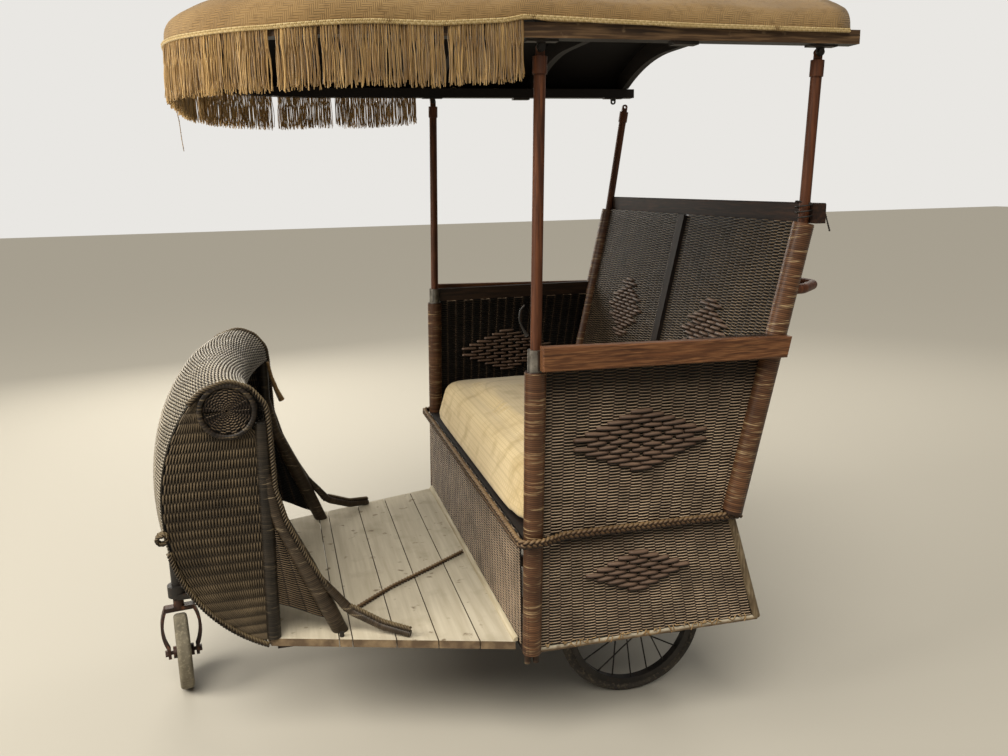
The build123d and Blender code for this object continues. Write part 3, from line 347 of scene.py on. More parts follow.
def weave_tree():
    """Strands that pass over and under stakes on a surface with a UV map from 0 to 1."""
    tree, given = new_tree(
        "weave", Columns="Int", Steps="Int", Rows="Int", Swing="Float", Depth="Float", Rise="Float",
        Stakes="Int", StakeRadius="Float", StakeSteps="Int", StakeCrest="Float", Wander="Float", Seed="Int",
    )
    base = given["Geometry"]
    chart = add_node(tree, "GeometryNodeInputNamedAttribute", {0: "weave"}, data_type="FLOAT_VECTOR")
    place = add_node(tree, "GeometryNodeInputPosition")
    facing = add_node(tree, "GeometryNodeInputNormal")
    along = add_node(tree, "GeometryNodeSplineParameter").outputs["Index"]

    def shared(number, count):
        """The middle of one of so many steps, from 0 to 1."""
        return reckon(tree, "DIVIDE", reckon(tree, "ADD", number, 0.5), count)

    def laid(strand, count, across, steps):
        """Copies of a strand over the surface, with their place, facing and number."""
        line = add_node(tree, "GeometryNodeMeshLine", {0: steps, 3: (1, 0, 0)})
        thread = add_node(tree, "GeometryNodeMeshToCurve", {0: line})
        copies = add_node(tree, "GeometryNodeDuplicateElements", {0: thread, 2: count}, domain="SPLINE")
        number = copies.outputs["Duplicate Index"]
        run, slot = shared(along, steps), shared(number, count)
        spread = add_node(tree, "ShaderNodeCombineXYZ", {0: run, 1: slot} if strand else {0: slot, 1: run})
        sway = ranged(tree, noise(tree, spread, WANDER_SCALE, 2.0), *NOISE_SPAN, 0.0, given["Wander"])
        moved = vectors(tree, "ADD", spread, add_node(tree, "ShaderNodeCombineXYZ", {across: sway}))
        inside = vectors(tree, "MAXIMUM", moved, (CHART_EDGE, CHART_EDGE, 0))
        inside = vectors(tree, "MINIMUM", inside, (1 - CHART_EDGE, 1 - CHART_EDGE, 1))
        found = [
            add_node(tree, "GeometryNodeSampleUVSurface", {0: base, 1: field, 2: chart, 3: inside},
                     data_type="FLOAT_VECTOR")
            for field in (place, facing)
        ]
        return copies, found, number

    points = reckon(tree, "MULTIPLY", given["Columns"], given["Steps"])
    threads, (spot, out), row = laid(True, given["Rows"], 1, points)
    lead = reckon(tree, "MULTIPLY", row, math.pi)
    phase = reckon(tree, "MULTIPLY_ADD", shared(along, given["Steps"]), math.pi, lead)
    wave = ranged(tree, reckon(tree, "SINE", phase), -WAVE_CUT, WAVE_CUT, -1.0, 1.0)
    swing = reckon(tree, "MULTIPLY", wave, given["Swing"])
    swing = reckon(tree, "MULTIPLY", swing, drawn(tree, given, *SWING_SPAN))
    shape = noted(tree, threads, tone=drawn(tree, given, number=row), crest=wave)
    shape = add_node(tree, "GeometryNodeSetPosition", {0: shape, 2: spot, 3: vectors(tree, "SCALE", out, swing)})
    shape = add_node(tree, "GeometryNodeSetCurveNormal", {0: shape, 2: out}, mode="FREE")
    ring = add_node(tree, "GeometryNodeCurvePrimitiveCircle", {0: STRAND_FACETS, 4: 1.0})
    section = add_node(tree, "ShaderNodeCombineXYZ", {0: given["Depth"], 1: given["Rise"], 2: 1})
    flat = add_node(tree, "GeometryNodeTransform", {0: ring, 3: section})
    strands = add_node(tree, "GeometryNodeCurveToMesh", {0: shape, 1: flat, "Fill Caps": True})

    uprights, (spot, _), stake = laid(False, given["Stakes"], 0, given["StakeSteps"])
    uprights = noted(tree, uprights, tone=drawn(tree, given, number=stake), crest=given["StakeCrest"])
    bars = add_node(tree, "GeometryNodeSetPosition", {0: uprights, 2: spot})
    stakes = swept(tree, bars, STRAND_FACETS, given["StakeRadius"])
    both = add_node(tree, "GeometryNodeJoinGeometry", {0: strands})
    tree.links.new(stakes.outputs[0], both.inputs[0])
    close_tree(tree, both, given["Material"])
    return tree


def diamond_tree():
    """Staggered strips of split cane, raised off the weave inside a diamond."""
    tree, given = new_tree(
        "diamond", HalfWidth="Float", HalfHeight="Float", StripLength="Float", StripHeight="Float",
        StripDepth="Float", PitchAlong="Float", PitchUp="Float", Place="Vector", Turn="Vector", Seed="Int",
    )
    spot = add_node(tree, "ShaderNodeSeparateXYZ", {0: add_node(tree, "GeometryNodeInputPosition")}).outputs
    spans, counts, waves, shares = [], [], [], []
    for part, half, pitch in ((spot[0], "HalfWidth", "PitchAlong"), (spot[1], "HalfHeight", "PitchUp")):
        whole = reckon(tree, "FLOOR", reckon(tree, "DIVIDE", given[half], given[pitch]))
        counts.append(reckon(tree, "MULTIPLY_ADD", whole, 2, 1))
        spans.append(reckon(tree, "MULTIPLY", reckon(tree, "MULTIPLY", whole, given[pitch]), 2))
        turns = reckon(tree, "MULTIPLY", reckon(tree, "DIVIDE", part, given[pitch]), math.pi)
        waves.append(reckon(tree, "COSINE", turns))
        shares.append(reckon(tree, "ABSOLUTE", reckon(tree, "DIVIDE", part, given[half])))
    grid = add_node(tree, "GeometryNodeMeshGrid", {0: spans[0], 1: spans[1], 2: counts[0], 3: counts[1]})
    odd = reckon(tree, "LESS_THAN", reckon(tree, "MULTIPLY", waves[0], waves[1]), 0.0)
    reach = reckon(tree, "ADD", shares[0], shares[1])
    unused = reckon(tree, "MAXIMUM", odd, reckon(tree, "GREATER_THAN", reach, 1.0))
    kept = add_node(tree, "GeometryNodeDeleteGeometry", {0: grid, 1: unused}, domain="POINT")
    along, across, through = STRIP_POINTS
    block = add_node(tree, "GeometryNodeMeshCube", {0: (1, 1, 1), 1: along, 2: across, 3: through})
    bow = reckon(tree, "COSINE", reckon(tree, "MULTIPLY", spot[0], STRIP_BOW))
    crown = reckon(tree, "COSINE", reckon(tree, "MULTIPLY", spot[1], STRIP_CROWN))
    thick = reckon(tree, "MULTIPLY", reckon(tree, "MULTIPLY_ADD", bow, 1 - STRIP_ENDS, STRIP_ENDS), crown)
    shift = reckon(tree, "MULTIPLY", spot[2], thick)
    full = add_node(tree, "ShaderNodeCombineXYZ", {0: spot[0], 1: spot[1], 2: shift})
    block = add_node(tree, "GeometryNodeSetPosition", {0: block, 2: full})
    strip = add_node(tree, "ShaderNodeCombineXYZ", {
        0: given["StripLength"], 1: given["StripHeight"], 2: given["StripDepth"],
    })
    slim = add_node(tree, "GeometryNodeTransform", {0: block, 3: strip})
    longer = ranged(tree, reach, *RIM_SPAN, 1.0, RIM_LENGTH)
    scale = add_node(tree, "ShaderNodeCombineXYZ", {0: longer, 1: 1.0, 2: 1.0})
    tilt = add_node(tree, "ShaderNodeCombineXYZ", {2: drawn(tree, given, -STRIP_LEAN, STRIP_LEAN)})
    kept = noted(tree, kept, tone=drawn(tree, given))
    strips = add_node(tree, "GeometryNodeInstanceOnPoints", {0: kept, 2: slim, 5: tilt, 6: scale})
    stood = add_node(tree, "GeometryNodeTransform", {0: strips, 1: given["Place"], 2: given["Turn"]})
    close_tree(tree, stood, given["Material"])
    return tree


def binding_tree():
    """A bar bound round with cane, as rings along a path whose points hold its radius."""
    tree, given = new_tree("binding", Pitch="Float", Ripple="Float", Facets="Int", Seed="Int")
    path = add_node(tree, "GeometryNodeMeshToCurve", {0: given["Geometry"]})
    step = reckon(tree, "DIVIDE", given["Pitch"], 2.0)
    path = add_node(tree, "GeometryNodeResampleCurve", {0: path, 3: step}, mode="LENGTH")
    index = add_node(tree, "GeometryNodeSplineParameter").outputs["Index"]
    odd = reckon(tree, "MODULO", index, 2.0)
    ring = reckon(tree, "FLOOR", reckon(tree, "DIVIDE", index, 2.0))
    path = noted(tree, path, tone=drawn(tree, given, number=ring), crest=odd)
    girth = add_node(tree, "GeometryNodeInputNamedAttribute", {0: "girth"}, data_type="FLOAT")
    ripple = reckon(tree, "MULTIPLY", odd, given["Ripple"])
    bulge = reckon(tree, "MULTIPLY_ADD", ripple, drawn(tree, given, *RING_SPAN, number=index), girth)
    bar = swept(tree, path, given["Facets"], 1.0, Scale=bulge)
    close_tree(tree, bar, given["Material"])
    return tree


def plait_tree():
    """Strands plaited or laid like rope along a path."""
    tree, given = new_tree(
        "plait", Strands="Int", Pitch="Float", Width="Float", Thickness="Float", Beat="Float", Lead="Float",
        StrandRadius="Float", StepsPerTurn="Int", Seed="Int",
    )
    path = add_node(tree, "GeometryNodeMeshToCurve", {0: given["Geometry"]})
    step = reckon(tree, "DIVIDE", given["Pitch"], given["StepsPerTurn"])
    path = add_node(tree, "GeometryNodeResampleCurve", {0: path, 3: step}, mode="LENGTH")
    path = add_node(tree, "GeometryNodeSetCurveNormal", {0: path}, mode="Z_UP")
    copies = add_node(tree, "GeometryNodeDuplicateElements", {0: path, 2: given["Strands"]}, domain="SPLINE")
    number = copies.outputs["Duplicate Index"]
    length = add_node(tree, "GeometryNodeSplineParameter").outputs["Length"]
    turns = reckon(tree, "DIVIDE", length, given["Pitch"])
    turns = reckon(tree, "ADD", turns, reckon(tree, "DIVIDE", number, given["Strands"]))
    angle = reckon(tree, "MULTIPLY", turns, 2 * math.pi)
    beat = reckon(tree, "MULTIPLY_ADD", angle, given["Beat"], given["Lead"])
    rise = reckon(tree, "MULTIPLY", reckon(tree, "SINE", beat), given["Thickness"])
    side = reckon(tree, "MULTIPLY", reckon(tree, "SINE", angle), given["Width"])
    normal = add_node(tree, "GeometryNodeInputNormal")
    across = vectors(tree, "CROSS_PRODUCT", add_node(tree, "GeometryNodeInputTangent"), normal)
    offset = vectors(tree, "ADD", vectors(tree, "SCALE", across, side), vectors(tree, "SCALE", normal, rise))
    shape = noted(tree, copies, tone=drawn(tree, given, number=number), crest=0.7)
    shape = add_node(tree, "GeometryNodeSetPosition", {0: shape, 3: offset})
    close_tree(tree, swept(tree, shape, PLAIT_FACETS, given["StrandRadius"]), given["Material"])
    return tree


def fringe_tree():
    """Hanging threads along a path, uneven in length, lean and spacing."""
    tree, given = new_tree(
        "fringe", Spacing="Float", Length="Float", ThreadRadius="Float", Scatter="Float", Gaps="Float", Seed="Int",
    )

    def drawn_vector(low, high):
        """A random vector for each point, from the tree's seed."""
        inputs = {0: low, 1: high, 8: given["Seed"]}
        return add_node(tree, "FunctionNodeRandomValue", inputs, data_type="FLOAT_VECTOR")

    path = add_node(tree, "GeometryNodeMeshToCurve", {0: given["Geometry"]})
    points = add_node(tree, "GeometryNodeCurveToPoints", {0: path, 2: given["Spacing"]}, mode="LENGTH")
    place = add_node(tree, "GeometryNodeInputPosition")
    bare = reckon(tree, "LESS_THAN", noise(tree, place, BARE_SCALE, 3.0), given["Gaps"])
    points = add_node(tree, "GeometryNodeDeleteGeometry", {0: points, 1: bare}, domain="POINT")
    spread = vectors(tree, "SCALE", drawn_vector((-1, -1, -0.4), (1, 1, 0.4)), given["Scatter"])
    points = add_node(tree, "GeometryNodeSetPosition", {0: points, 3: spread})
    points = noted(tree, points, tone=drawn(tree, given))
    line = add_node(tree, "GeometryNodeMeshLine", {0: THREAD_POINTS, 3: (0, 0, -1 / (THREAD_POINTS - 1))})
    thread = add_node(tree, "GeometryNodeMeshToCurve", {0: line})
    down = add_node(tree, "GeometryNodeSplineParameter").outputs["Factor"]
    bend = reckon(tree, "SINE", reckon(tree, "MULTIPLY", down, THREAD_WAVE))
    bend = add_node(tree, "ShaderNodeCombineXYZ", {0: reckon(tree, "MULTIPLY", bend, THREAD_SWAY)})
    thread = add_node(tree, "GeometryNodeSetPosition", {0: thread, 3: bend})
    thread = swept(tree, thread, THREAD_FACETS, given["ThreadRadius"])
    lean = drawn_vector((-THREAD_LEAN, -THREAD_LEAN, 0), (THREAD_LEAN, THREAD_LEAN, 6.28))
    drop = reckon(tree, "MULTIPLY", drawn(tree, given, *THREAD_SPAN), given["Length"])
    size = add_node(tree, "ShaderNodeCombineXYZ", {0: 1.0, 1: 1.0, 2: drop})
    threads = add_node(tree, "GeometryNodeInstanceOnPoints", {0: points, 2: thread, 5: lean, 6: size})
    close_tree(tree, threads, given["Material"])
    return tree


# Base meshes: patches with a weave map, and paths
def patch(rows, away_from):
    """A surface through rows of points, with its weave map, that faces away from a point."""
    grid = np.array(rows, float)
    high, wide = grid.shape[:2]
    corner = grid[high // 2, wide // 2]
    normal = np.cross(grid[high // 2, wide // 2 - 1] - corner, grid[high // 2 - 1, wide // 2] - corner)
    if np.dot(normal, corner - np.array(away_from, float)) < 0:
        grid = grid[:, ::-1]
    mesh = bpy.data.meshes.new("patch")
    faces = []
    for row in range(high - 1):
        for column in range(wide - 1):
            start = row * wide + column
            faces.append((start, start + 1, start + wide + 1, start + wide))
    mesh.from_pydata([tuple(p) for p in grid.reshape(-1, 3)], [], faces)
    chart = mesh.uv_layers.new(name="weave")
    for loop in mesh.loops:
        row, column = divmod(loop.vertex_index, wide)
        chart.data[loop.index].uv = (column / (wide - 1), row / (high - 1))
    return mesh


def run_along(points):
    """How far along a chain each of its points lies."""
    return np.concatenate([[0], np.cumsum(np.linalg.norm(np.diff(points, axis=0), axis=1))])


def ruled(low, high, steps=12):
    """Rows of points between two rows that have as many."""
    low, high = np.array(low, float), np.array(high, float)
    return [low + (high - low) * step / steps for step in range(steps + 1)]


def spanned(start, end):
    """A row of 13 points from start to end."""
    return np.linspace(start, end, 13)


def path_mesh(chains, girth=None):
    """Chains of edges through points; girth gives each point's radius."""
    points = [tuple(point) for chain in chains for point in chain]
    ends = set(np.cumsum([len(chain) for chain in chains]) - 1)
    mesh = bpy.data.meshes.new("path")
    mesh.from_pydata(points, [(i, i + 1) for i in range(len(points)) if i not in ends], [])
    if girth is not None:
        layer = mesh.attributes.new("girth", "FLOAT", "POINT")
        layer.data.foreach_set("value", np.broadcast_to(girth, len(points)).astype(np.float32))
    return mesh


def bent(points, radius, steps=8):
    """A route of straight runs with its corners rounded to this radius."""
    route = [Vector(points[0])]
    for before, at, after in zip(points, points[1:], points[2:]):
        at = Vector(at)
        back, on = (Vector(before) - at), (Vector(after) - at)
        half_turn = (math.pi - back.angle(on)) / 2
        reach = min(radius * math.tan(half_turn), 0.45 * min(back.length, on.length))
        start, stop = at + back.normalized() * reach, at + on.normalized() * reach
        for step in range(steps + 1):
            share = step / steps
            first, second = start.lerp(at, share), at.lerp(stop, share)
            route.append(first.lerp(second, share))
    route.append(Vector(points[-1]))
    return route


def points_of(node):
    """A node's points as an array."""
    mesh = nodes[node].data
    flat = np.empty(len(mesh.vertices) * 3)
    mesh.vertices.foreach_get("co", flat)
    return flat.reshape(-1, 3)


def flat_corners(points, level_y):
    """Low front, low rear, high front and high rear corner of these points, moved to one Y."""
    picks = []
    for up in (-1, 1):
        for ahead in (1, -1):
            best = points[np.argmax(points[:, 0] * ahead * 0.25 + points[:, 2] * up)]
            picks.append((best[0], level_y, best[2]))
    return picks


# Materials. Patterns are on Object coordinates, in metres, unless a piece has its own map
def new_material(name, roughness, **settings):
    """A material with its shader's plain values set; returns it, its tree, its shader and Object coordinates."""
    made = bpy.data.materials.new(name)
    made.use_nodes = True
    tree = made.node_tree
    shader = tree.nodes["Principled BSDF"]
    shader.inputs["Roughness"].default_value = roughness
    for socket, value in settings.items():
        shader.inputs[socket.replace("_", " ")].default_value = value
    return made, tree, shader, add_node(tree, "ShaderNodeTexCoord").outputs["Object"]


def kept_number(tree, name):
    """A number that a piece keeps on its points."""
    return add_node(tree, "ShaderNodeAttribute", attribute_name=name).outputs["Fac"]


def coloured(tree, shader, colour):
    """Give a shader its colour."""
    tree.links.new(colour, shader.inputs["Base Color"])


def blotch(tree, where, scale, low, high, dark, light, detail=3.0):
    """Two colours, each a hex or a socket, mixed by a noise of this scale, from dark at low to light at high."""
    return mixed(tree, ranged(tree, noise(tree, where, scale, detail), low, high), dark, light)


def mixed(tree, share, first, second, blend="MIX"):
    """Two colours, each a hex or a socket, mixed by a share."""
    first, second = (linear(colour) if isinstance(colour, str) else colour for colour in (first, second))
    settings = {"data_type": "RGBA", "blend_type": blend}
    return add_node(tree, "ShaderNodeMix", {0: share, 6: first, 7: second}, **settings).outputs[2]


def stretched(tree, where, scale, turn=(0, 0, 0)):
    """Coordinates scaled and turned, for grain that runs one way."""
    return add_node(tree, "ShaderNodeMapping", {"Vector": where, "Rotation": turn, "Scale": scale})


def raised(tree, shader, height, distance, strength=1.0):
    """Give a shader a bump of this height in metres."""
    bump = add_node(tree, "ShaderNodeBump", {"Strength": strength, "Distance": distance, "Height": height})
    tree.links.new(bump.outputs[0], shader.inputs["Normal"])


# Cane, by its crest (1 before a stake, -1 behind it) and its normal's Z: wear with painted highlight, and painted shade
CREST_WORN_AND_LIT = (-0.4, 0.4)
CREST_SHADED = (-0.9, -0.1)
UNDERSIDE_SHADE = (-0.55, 0.10)
LIT_WIDTH = 0.5


def cane(name, painted_shade, dark, light, worn, wear, roughness=0.5, lit_from=0.25):
    """Split and round cane, soaked, woven and stained: painted shade in hollows and undersides, crests worn and highlit
    above.
    """
    made, tree, shader, where = new_material(name, roughness, Specular_IOR_Level=0.3)
    tone = kept_number(tree, "tone")
    crest = kept_number(tree, "crest")
    facing = add_node(tree, "ShaderNodeNewGeometry").outputs["Normal"]
    upward = add_node(tree, "ShaderNodeSeparateXYZ", {0: facing}).outputs[2]
    body = mixed(tree, tone, dark, light)
    body = blotch(tree, where, 5.0, 0.2, 1.1, body, dark)
    worn_and_highlight = blotch(tree, where, 14.0, wear - 0.45, wear + 0.30, body, worn, detail=4.0)
    # Painted highlight: the worn colour goes only on the upper side of front crests, where light from above falls
    lit = ranged(tree, upward, lit_from, lit_from + LIT_WIDTH)
    body = mixed(tree, reckon(tree, "MULTIPLY", ranged(tree, crest, *CREST_WORN_AND_LIT), lit), body, worn_and_highlight)
    # Painted shade: strands behind the stakes, and the stakes, go towards the near-black shade colour
    body = mixed(tree, ranged(tree, crest, *CREST_SHADED), painted_shade, body)
    # Painted shade on faces that turn down
    body = mixed(tree, ranged(tree, upward, *UNDERSIDE_SHADE), painted_shade, body)
    coloured(tree, shader, body)
    raised(tree, shader, noise(tree, where, 900.0, 2.0), 0.0003, 0.5)
    return made


def bound_cane(name, dark, light, worn, wear):
    """Flat cane wound round a post, varnished once, scuffed pale in patches; painted shade in the grooves between
    turns.
    """
    made, tree, shader, where = new_material(name, 0.45, Specular_IOR_Level=0.3)
    tone = kept_number(tree, "tone")
    crest = kept_number(tree, "crest")
    body = mixed(tree, tone, dark, light)
    body = blotch(tree, where, 9.0, 0.4, 0.7, body, dark)
    body = blotch(tree, stretched(tree, where, (14, 14, 160)), 1.0, wear, wear + 0.12, body, worn, detail=4.0)
    # Painted shade: the grooves between the raised turns are darkened to about a third
    groove_shade = ranged(tree, crest, 0.0, 0.8, 0.35, 1.0)
    dull = add_node(tree, "ShaderNodeCombineColor", {0: groove_shade, 1: groove_shade, 2: groove_shade})
    body = mixed(tree, 1.0, body, dull.outputs[0], "MULTIPLY")
    coloured(tree, shader, body)
    return made


def timber(name, dark, mid, light, grain, roughness, turn=(0, 0, 0), scuff=None, inside=None):
    """Sawn and stained wood: streaks along the grain, darker pores, dull old varnish; painted shade on faces turned
    inward or down.
    """
    made, tree, shader, where = new_material(name, roughness, Specular_IOR_Level=0.3)
    along = stretched(tree, where, grain, turn)
    streak = blotch(tree, along, 1.0, 0.3, 0.7, dark, mid, detail=6.0)
    body = blotch(tree, along, 2.7, 0.45, 0.75, streak, light, detail=8.0)
    if scuff:
        body = blotch(tree, where, 34.0, 0.62, 0.80, body, scuff, detail=6.0)
    # Painted shade: faces that turn inward towards the middle, or downward, take the inside colour
    if inside:
        side = reckon(tree, "SIGN", add_node(tree, "ShaderNodeSeparateXYZ", {0: where}).outputs[1])
        facing = add_node(tree, "ShaderNodeNewGeometry").outputs["True Normal"]
        _, aside, upward = add_node(tree, "ShaderNodeSeparateXYZ", {0: facing}).outputs
        outward = reckon(tree, "MULTIPLY_ADD", aside, side, upward)
        body = mixed(tree, ranged(tree, outward, -0.3, 0.3), inside, body)
    coloured(tree, shader, body)
    raised(tree, shader, noise(tree, along, 6.0, 4.0), 0.0006, 0.6)
    return made


def speckled(name, roughness, first, layers, bump=None, **settings):
    """A paint of blotches over its first colour, each with a scale, the noise's low and high, a colour and a detail."""
    made, tree, shader, where = new_material(name, roughness, **settings)
    body = first
    for scale, low, high, colour, detail in layers:
        body = blotch(tree, where, scale, low, high, body, colour, detail)
    coloured(tree, shader, body)
    if bump:
        scale, detail, distance, strength = bump
        raised(tree, shader, noise(tree, where, scale, detail), distance, strength)
    return made


def iron(name, dark, light, rust, share):
    """Forged or cast iron, painted long ago: dull black or brown with rust bloom."""
    layers = ((30.0, 0.35, 0.7, light, 5.0), (55.0, share, share + 0.15, rust, 8.0))
    return speckled(name, 0.55, dark, layers, (260.0, 5.0, 0.0006, 0.7), Metallic=0.3)


def rubber(name, dark, light, dust):
    """Old solid rubber: chalky bloom and ground-in dust."""
    layers = ((18.0, 0.35, 0.7, light, 5.0), (120.0, 0.5, 0.75, dust, 4.0))
    return speckled(name, 0.85, dark, layers, (320.0, 4.0, 0.0006, 0.6))


def threads_paint(name, dark, light, sheen=0.3):
    """Twisted cotton, dyed tan and faded: matte, with a soft sheen, each thread its own shade."""
    made, tree, shader, where = new_material(name, 0.95, Sheen_Weight=sheen, Specular_IOR_Level=0.2)
    tone = kept_number(tree, "tone")
    body = mixed(tree, tone, dark, light)
    body = blotch(tree, where, 14.0, 0.4, 0.75, body, dark)
    coloured(tree, shader, body)
    return made


# The canopy's matting: bands up the cloth, each slid on from the last, blocks along them, and threads both ways
MAT_BAND = 0.010
MAT_SLIDE = 0.011
MAT_BLOCK = 0.022
MAT_THREADS = (0.0044, 0.0050)
SEAT_CHECK = 0.0075


def canopy_paint():
    """Heavy cotton matting, sun-faded tan: small blocks of upright and level threads, dark between."""
    made, tree, shader, where = new_material("faded_cotton_matting", 0.95, Sheen_Weight=0.15)
    chart = add_node(tree, "ShaderNodeUVMap", uv_map="cloth")
    body = blotch(tree, where, 4.0, 0.35, 0.7, "#8C6E42", "#A08254", detail=4.0)
    body = blotch(tree, where, 60.0, 0.5, 0.8, body, "#7C6038", detail=3.0)
    across, up, _ = add_node(tree, "ShaderNodeSeparateXYZ", {0: chart}).outputs
    row = reckon(tree, "FLOOR", reckon(tree, "MULTIPLY", up, 1 / MAT_BAND))
    slid = reckon(tree, "ADD", reckon(tree, "MULTIPLY", row, MAT_SLIDE), across)
    block = reckon(tree, "MODULO", reckon(tree, "MULTIPLY", slid, 1 / MAT_BLOCK), 2.0)
    level = reckon(tree, "GREATER_THAN", block, 1.0)
    marks = []
    for part, pitch in zip((across, up), MAT_THREADS):
        saw = reckon(tree, "PINGPONG", reckon(tree, "MULTIPLY", part, 1 / pitch), 0.5)
        marks.append(ranged(tree, saw, 0.05, 0.22, 1.0, 0.0))
    mark = add_node(tree, "ShaderNodeMix", {0: level, 2: marks[0], 3: marks[1]}).outputs[0]
    fade = ranged(tree, noise(tree, where, 9.0, 3.0), 0.4, 0.6, 0.35, 0.85)
    body = mixed(tree, reckon(tree, "MULTIPLY", mark, fade), body, "#54401F")
    coloured(tree, shader, body)
    raised(tree, shader, mark, -0.0012, 0.6)
    return made


def seat_paint():
    """Plain woven cotton over stuffing, cream gone yellow: a fine square weave, grubby in patches."""
    made, tree, shader, where = new_material("cream_cotton_weave", 0.93, Sheen_Weight=0.25)
    body = blotch(tree, where, 3.0, 0.35, 0.7, "#C6AF80", "#D6C194", detail=4.0)
    body = blotch(tree, where, 14.0, 0.52, 0.75, body, "#B39B69", detail=5.0)
    parts = add_node(tree, "ShaderNodeSeparateXYZ", {0: where}).outputs
    waves = [reckon(tree, "SINE", reckon(tree, "MULTIPLY", part, math.pi / SEAT_CHECK)) for part in parts]
    check = reckon(tree, "MAXIMUM", reckon(tree, "MAXIMUM", waves[0], waves[1]), waves[2])
    body = mixed(tree, ranged(tree, check, 0.86, 1.0, 0.0, 0.35), body, "#9A8459")
    coloured(tree, shader, body)
    raised(tree, shader, check, 0.0008, 0.4)
    return made


def plank_paint():
    """Pine boards scrubbed and trodden for years: grey cream dust, worn grain, brown stains; darker brown on faces not
    facing up.
    """
    made, tree, shader, where = new_material("trodden_pine", 0.85)
    along = stretched(tree, where, (70, 4, 40))
    body = blotch(tree, along, 1.0, 0.3, 0.7, "#B5AA93", "#C9BFA9", detail=6.0)
    body = blotch(tree, where, 7.0, 0.55, 0.75, body, "#A39880", detail=7.0)
    body = blotch(tree, where, 26.0, 0.63, 0.72, body, "#7A6A54", detail=8.0)
    # Faces that do not face up take a darker brown
    facing = add_node(tree, "ShaderNodeNewGeometry").outputs["True Normal"]
    upward = add_node(tree, "ShaderNodeSeparateXYZ", {0: facing}).outputs[2]
    side_face_colour = blotch(tree, where, 30.0, 0.4, 0.7, "#5A4834", "#8A7558", detail=6.0)
    body = mixed(tree, upward, side_face_colour, body)
    coloured(tree, shader, body)
    raised(tree, shader, noise(tree, along, 3.0, 6.0), 0.001, 0.5)
    return made


def ferrule_paint():
    """Plated brass tube, its plating dulled grey, brown where it has gone."""
    layers = ((40.0, 0.35, 0.7, "#9A958C", 5.0), (90.0, 0.6, 0.72, "#4F4436", 6.0))
    return speckled("dulled_plate", 0.38, "#6B6660", layers, Metallic=0.85)


paints = {
    "iron_dark": iron("black_iron", "#1F1C19", "#312B26", "#4A3324", 0.62),
    "iron_rust": iron("rusty_cast_iron", "#2A1C15", "#43291E", "#6A4530", 0.55),
    "tyre_dark": rubber("black_rubber", "#2A2622", "#3B352C", "#5B5142"),
    "tyre_grey": rubber("grey_rubber", "#5C5546", "#776F5D", "#8E856F"),
    "ferrule_metal": ferrule_paint(),
    # Dark stain and painted shade: darkened for the stile and other parts in the roof's shade
    "frame_wood": timber("dark_stained_oak_and_shade", "#0A0604", "#1A100A", "#2A1B11", (60, 60, 5), 0.7),
    "pale_wood": plank_paint(),
    "arm_wood": timber("red_stained_oak", "#3A2112", "#6E4529", "#8A5F3C", (7, 110, 110), 0.5,
                       turn=(0, math.radians(-3), 0)),
    "pole_wood": timber("varnished_ash", "#381D10", "#583018", "#6E4024", (60, 60, 4), 0.55),
    "wrapped_cane": bound_cane("bound_cane", "#4E3220", "#7A5438", "#A58A66", 0.56),
    "woven_cane": cane("woven_cane", "#010100", "#22170F", "#3A291D", "#C4AB8E", 0.38),
    "dash_cane": cane("dusty_woven_cane", "#050403", "#443D32", "#5A5142", "#B0A591", 0.40),
    "plaited_cane": cane("plaited_cane", "#120B07", "#38271A", "#573F29", "#8C7250", 0.50),
    "seat_cloth": seat_paint(),
    "canopy_cloth": canopy_paint(),
}
EXTRA = {
    "diamond_cane": cane("diamond_cane", "#0A0604", "#46342A", "#5F493B", "#9C826C", 0.46, roughness=0.5),
    "dash_binding": bound_cane("dash_binding", "#33291D", "#574838", "#8C7C64", 0.60),
    "post_binding": bound_cane("dark_bound_cane", "#1E1913", "#3C3328", "#6E604B", 0.60),
    "disc_binding": bound_cane("disc_binding", "#1E1813", "#40352A", "#77674F", 0.56),
    "rope_cane": cane("rope_cane", "#120D09", "#34291D", "#4C3F2C", "#786748", 0.48),
    # Painted shade: a darker copy of the woven cane for the back, the gussets and the discs, which sit in shade
    "deep_shade_cane": cane("deep_shade_cane", "#010100", "#1A120B", "#281C13", "#8C775C", 0.42),
    "shaded_cane": cane("shaded_cane", "#040302", "#1C150F", "#2A2218", "#75654E", 0.44, lit_from=-0.35),
    "cream_braid": threads_paint("cream_cotton_braid", "#AE9563", "#D6C091"),
    "fringe": threads_paint("tan_cotton_fringe", "#8A6A3E", "#C9A66B"),
    # Painted shade: the sheet inside the roof is near black
    "underside_shade": threads_paint("shade_black_canopy_underside", "#060302", "#0C0705", 0.0),
    "frayed": cane("frayed_cane", "#3E2E1C", "#7E6240", "#A08258", "#BFA378", 0.5, roughness=0.7),
}
